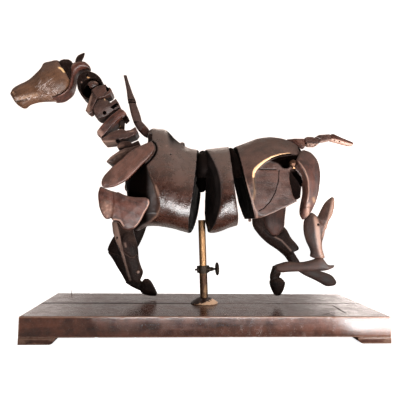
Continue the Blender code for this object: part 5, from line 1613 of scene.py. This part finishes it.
# Painted glints on the post.
broad.stripe("bare_and_glint", [(-194, 194), (-192, 196)], 1.4, 1.0, NEAR, 0.9)
broad.stripe("bare_and_glint", [(-184, 199), (-182, 201)], 1.4, 1.0, NEAR, 0.9)
# Painted shade behind the post.
broad.brush("grime_and_shade", broad.inside([(-205, 188), (-172, 196), (-172, 216), (-190, 216)], 2.0) * 0.6)
broad.stripe("rubbed_and_lit", [(-160, 186), (-152, 188)], 1.0, 2.0, NEAR, 0.5)
low = carvings["neck_low_block"]
low.stripe("rubbed_and_lit", [(-184, 154), (-174, 156)], 3.0, 4.0, NEAR, 0.4)
leaf = carvings["neck_leaf_plate"]
leaf.fold([(-204, 120), (-184, 134), (-160, 146)], 12, 2.0)
# The near face painted lighter all over as the light it gets, and a painted highlight along its crest.
leaf.brush("rubbed_and_lit", leaf.facing(NEAR) * np.clip(waves(leaf.points, 7, 63) * 0.3 + 0.35, 0, 1))
leaf.stripe("rubbed_and_lit", [(-203, 121), (-190, 131), (-174, 140)], 1.4, 1.6, NEAR, 0.8)

print("leaf plate rubbed points:", int((leaf.masks["rubbed_and_lit"] > 0.3).sum()))

# %% [markdown]
# ### Shoulder and forearm
#
# The two boards are worn pale along their rear edges; the near blade's face is painted lighter as the light it gets,
# and the upper arm's pale patch is partly a painted highlight. The forearm carries a raised strip down its front, a
# scribed panel and a small boss at the knee. These are true relief here, because their edges catch the light, and
# the panel's lower edge, its glint and the boss carry painted highlights as well.

# %% Shoulder boards
blade = carvings["near_shoulder_blade"]
blade.stripe("rubbed_and_lit", [(-104, 135), (-113, 125), (-136, 101), (-158, 77), (-177, 65)], 1.2, 1.5, NEAR, 0.35)
blade.dent((-197, 63), 6, 1.5, grime_and_shade=0.5)
# The near face painted lighter, as the light it gets.
blade.brush("dust_and_top_light", blade.facing(NEAR, 0.0) * 0.4)
arm = carvings["near_upper_arm"]
LEFT_PART = [(-230, 80), (-184, 62), (-181, 31), (-183, 22), (-182, 13), (-186, -3), (-230, -20)]
arm.sink(LEFT_PART, 1.6, lip=1.2)
PATCH = [(-209, 20), (-201, 36), (-190, 31), (-181, 18), (-185, 7), (-193, -3), (-202, 3)]
# A pale patch, partly wear and partly a painted highlight.
arm.brush("rubbed_and_lit", arm.inside(PATCH, 12) * arm.facing(NEAR) * (0.35 + 0.4 * np.clip(waves(arm.points, 5, 61), 0, 1)))
arm.push(arm.facing(NEAR) * waves(arm.points, 14, 62) * 0.5)
arm.stripe("rubbed_and_lit", [(-113, 38), (-112, 31), (-116, 21), (-122, 11), (-126, 2), (-132, -9), (-139, -17)], 1.4, 1.4,
           NEAR, 0.9)
arm.groove([(-183, -7), (-177, -6), (-170, -8), (-164, -18)], 2.2, 2.0, grime_and_shade=1.0)
arm.stripe("rubbed_and_lit", [(-184, -3), (-177, -2), (-168, -4), (-161, -15)], 1.3, 1.2, NEAR, 0.8)
arm.groove([(-198, 58), (-188, 62), (-177, 59), (-175, 51)], 1.6, 1.2, grime_and_shade=0.9)
print("upper arm rubbed points:", int((arm.masks["rubbed_and_lit"] > 0.3).sum()))

# %% Near forearm: the strip, the panel and the boss at the knee
forearm = carvings["near_forearm"]
STRIP = [(-182, -8), (-177, -28), (-172, -44), (-166, -58), (-162, -73), (-157, -91), (-152, -108), (-147, -124)]
strip_wide = np.interp(forearm.points[:, 2], (-122, -70, -60, -40, -25, -8), (1.8, 2.2, 3.4, 5.6, 6.4, 5.0))
strip = np.clip((strip_wide - forearm.distance(STRIP)) / 1.2 + 0.5, 0, 1)
strip = strip * np.clip(-forearm.normals[:, 1] * 3 + 0.5, 0, 1)
PANEL = flow([(-165, -59), (-161, -67), (-152, -74), (-141, -78), (-134, -72), (-132, -59), (-135, -42),
              (-142, -34), (-155, -28), (-165, -38)], 60, closed=True)
forearm.sink(PANEL, -2.6, lip=5)
forearm.groove(np.vstack([PANEL, PANEL[:1]]), 1.5, 1.2, grime_and_shade=0.5)
# A painted highlight along the panel's lower edge.
forearm.stripe("rubbed_and_lit", [(-163, -64), (-156, -72), (-147, -77), (-140, -78), (-135, -73)], 0.6, 1.6, NEAR, 0.35)
forearm.push(strip * 1.6)
forearm.brush("rubbed_and_lit", strip * np.interp(forearm.points[:, 2], (-122, -60, -20), (0.35, 0.8, 0.8)))
# A painted glint on the panel.
forearm.stripe("rubbed_and_lit", [(-158, -50), (-156, -56)], 2.0, 2.5, NEAR, 0.5)
forearm.dent((-176, -39), 3.0, 3.0, grime_and_shade=1.0)
forearm.push(np.clip((4.4 - forearm.distance([(-130, -108)])) * 2, 0, 1) * 1.3 * forearm.facing(NEAR))
# A painted highlight on the boss.
forearm.brush("rubbed_and_lit", np.clip(3.4 - forearm.distance([(-131, -107)]), 0, 1) * forearm.facing(NEAR) * 0.8)

print("forearm rubbed points:", int((forearm.masks["rubbed_and_lit"] > 0.3).sum()))

# %% [markdown]
# ### Hind legs
#
# A long crest runs down the thigh and another down each arm of the forked gaskin, all rubbed pale. They are
# the lines that the eye follows down the leg, so they are folded in and not only painted. On the gaskin and at the
# thigh's lower end their pale is partly a painted highlight, and so is the streak on the far gaskin.

# %% Thigh and gaskins
thigh = carvings["near_thigh"]
thigh.fold([(187, 121), (200, 110), (209, 98), (215, 83), (216, 62), (213, 41), (214, 28)], 16, 7.0)
thigh.brush("rubbed_and_lit", thigh.inside([(182, 127), (187, 121), (200, 110), (209, 98), (215, 83), (216, 62), (213, 41),
                                    (205, 41), (208, 60), (206, 80), (196, 100), (182, 112)], 2.0)
            * thigh.facing(NEAR, -0.4) * 0.1)
thigh.groove([(210, 30), (235, 29)], 1.2, 0.8, grime_and_shade=0.4)
# The thigh's lower end painted pale, partly wear and partly a painted highlight.
thigh.stripe("rubbed_and_lit", [(218, 34), (218, 26), (220, 14)], 4.0, 6.0, NEAR, 0.7)
thigh.fold([(214, 28), (224, 12)], 9, 2.5)
thigh.stripe("rubbed_and_lit", [(197, 124), (208, 105), (214, 87), (216, 66), (215, 41)], 1.0, 1.5, NEAR, 0.7)
thigh.stripe("bare_and_glint", [(231, 42), (228, 48)], 2.5, 5.0, NEAR, 0.3)
gaskin = carvings["near_gaskin"]
gaskin.fold([(234, 12), (237, -7), (239, -25), (241, -42), (246, -60), (253, -73)], 14, 3.0)
gaskin.fold([(279, 51), (270, 25), (264, 7), (259, -7)], 12, 3.0)
gaskin.dent((243, -6), 3.6, 3.5, grime_and_shade=1.0)
gaskin.brush("grime_and_shade", gaskin.inside([(218, 12), (233, 12), (234, -7), (235, -25), (238, -42), (243, -60), (249, -76),
                                     (236, -78), (226, -50), (218, -20)], 3) * 0.5)
# The gaskin's crests painted pale, partly wear and partly a painted highlight.
gaskin.stripe("rubbed_and_lit", [(237, 6), (240, -10), (243, -28), (247, -46), (252, -62), (257, -74)], 5.0, 5.0, NEAR, 0.85)
gaskin.stripe("rubbed_and_lit", [(280, 46), (276, 28), (270, 8), (264, -8), (258, -30)], 5.0, 5.0, NEAR, 0.8)
far_gaskin = carvings["far_gaskin"]
far_gaskin.groove([(149, -22), (160, -31), (176, -34), (190, -27), (197, -20)], 2.2, 1.4, grime_and_shade=0.7)
far_gaskin.fold([(128, -6), (146, -23), (170, -36), (191, -44), (207, -61), (219, -74)], 12, 2.0)
# A painted highlight along the far gaskin's ridge.
far_gaskin.stripe("rubbed_and_lit", [(174, -36), (191, -45), (206, -60), (214, -68)], 1.4, 3.0, NEAR, 0.75)
print("thigh rubbed points:", int((thigh.masks["rubbed_and_lit"] > 0.3).sum()))

# %% [markdown]
# ### Tail, crest and hoofs
#
# The tail's lengths are pale below, partly rubbed and partly painted with the light that falls on their undersides,
# and have small nail holes painted dark inside with dirt and shade. Each crest length ends in a dark joint, and the
# hoofs are lumpy. Some pieces are darker all over, and there a share of the dark mask goes on everything but the pale
# wear, which keeps one finish for all the dark wood.

# %% Tail
second_tail, third_tail, tail_tip = carvings["tail_second"], carvings["tail_third"], carvings["tail_tip"]
# Pale undersides, partly wear and partly the painted light that falls on them.
second_tail.brush("rubbed_and_lit", second_tail.inside([(236, 177), (256, 176), (265, 177), (258, 168), (234, 168)], 1.5))
# Nail holes painted dark, with dirt and shade.
second_tail.dent((242, 173), 2.0, 2.0, grime_and_shade=1.8)
second_tail.dent((254.5, 173), 2.0, 2.0, grime_and_shade=1.8)
# The same pale underside: wear and painted light.
third_tail.stripe("rubbed_and_lit", [(266, 180), (278, 182), (292, 186)], 2.2, 2.0, None, 0.7)
lower_half = [(290, 190), (310, 186.4), (324, 182), (348, 177), (342, 170), (290, 180)]
# The same pale underside: wear and painted light.
tail_tip.brush("rubbed_and_lit", tail_tip.inside(lower_half, 1.2))
tail_tip.fold([(292, 191), (310, 186.4), (324, 182.2), (344, 178)], 5, 1.2)
tail_tip.dent((299.3, 185.5), 1.8, 2.0, grime_and_shade=1.8)
tail_tip.dent((311, 183), 1.8, 2.0, grime_and_shade=1.8)
# The same pale underside: wear and painted light.
carvings["tail_dock"].stripe("rubbed_and_lit", [(218, 182), (228, 172)], 4.0, 6.0, None, 0.25)
print("tail rubbed points:", int((tail_tip.masks["rubbed_and_lit"] > 0.3).sum()))

# %% Crest joints, hoofs and the darker pieces
for node in ("crest_tip", "crest_band", "crest_length", "crest_root"):
    strip, height = carvings[node], carvings[node].points[:, 2]
    strip.brush("grime_and_shade", np.clip((height.min() + 3.5 - height) / 1.5, 0, 1))
for node in ("near_hind_hoof", "far_fore_hoof"):
    hoof = carvings[node]
    hoof.push(waves(hoof.points, 4, 77) * 0.35)
DARK = {"near_hind_hoof": 0.5, "far_fore_hoof": 0.5, "near_forearm": 0.3, "far_forearm": 0.45,
        "far_fore_cannon": 0.45, "far_fore_pastern": 0.4, "far_gaskin": 0.3, "far_hind_cannon": 0.45,
        "near_hind_cannon": 0.22, "near_hind_pastern": 0.3, "near_thigh": 0.3, "near_upper_arm": 0.12,
        "far_thigh": 0.4, "poll_block": 0.3, "ear": 0.2, "neck_cup": 0.3, "neck_second_block": 0.2,
        "crest_tip": 0.3, "crest_band": 0.3, "crest_length": 0.3, "crest_root": 0.3}
for node, share in DARK.items():
    carving = carvings[node]
    pale = np.maximum(carving.masks["rubbed_and_lit"], carving.masks["bare_and_glint"])
    carving.brush("grime_and_shade", share * (1 - np.clip(pale * 1.5, 0, 1)))
print("darker pieces:", len(DARK))

# %% [markdown]
# ## Setting the pieces in place
#
# Last, hand work and wear go on every piece, and it takes the place of its solid on the body that carries it.

# %% Finish every wooden piece
RED = ("crest_foot", "far_shoulder_blade", "far_thigh", "far_upper_arm", "jaw_plate", "near_shoulder_blade",
       "near_thigh", "near_upper_arm", "neck_tilted_plate", "tail_dock", "tail_tip")
BLACK = ("far_gaskin", "near_forearm", "far_forearm", "far_fore_cannon", "far_fore_pastern", "far_fore_hoof",
         "near_hind_hoof", "near_hind_pastern", "poll_block", "ear", "neck_cup")
BARRELS = ("thorax", "pelvis", "loin_ring")
BARREL_GRAIN = (1, 0, 0.05)
for seed, (node, carving) in enumerate(carvings.items(), 100):
    if node == "face":
        slot, material = "brown_wood", face_wax
    elif node == "brass_hip_ball":
        slot, material = "brass", ball_brass
    elif node in RED:
        slot, material = "red_wood", red_wax
    elif node in ("thorax", "loin_ring", "front_spine_block"):
        slot, material = "dark_wood", trunk_wax
    elif node in BLACK:
        slot, material = "dark_wood", black_wax
    else:
        slot, material = "dark_wood", dark_wax
    along, hand = (BARREL_GRAIN, 0.35) if node in BARRELS else (None, 0.22)
    finish(carving, node, "figure", slot, material, seed, along=along, hand=hand)
triangles = {p.name: sum(len(f.vertices) - 2 for f in p.data.polygons) for p in made}
print("pieces:", len(made), "triangles:", sum(triangles.values()), "most in one:", max(triangles.values()))

# %% Note the visual box and finish
low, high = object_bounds()
print("visual size in mm:", [round(1000 * s, 1) for s in high - low])
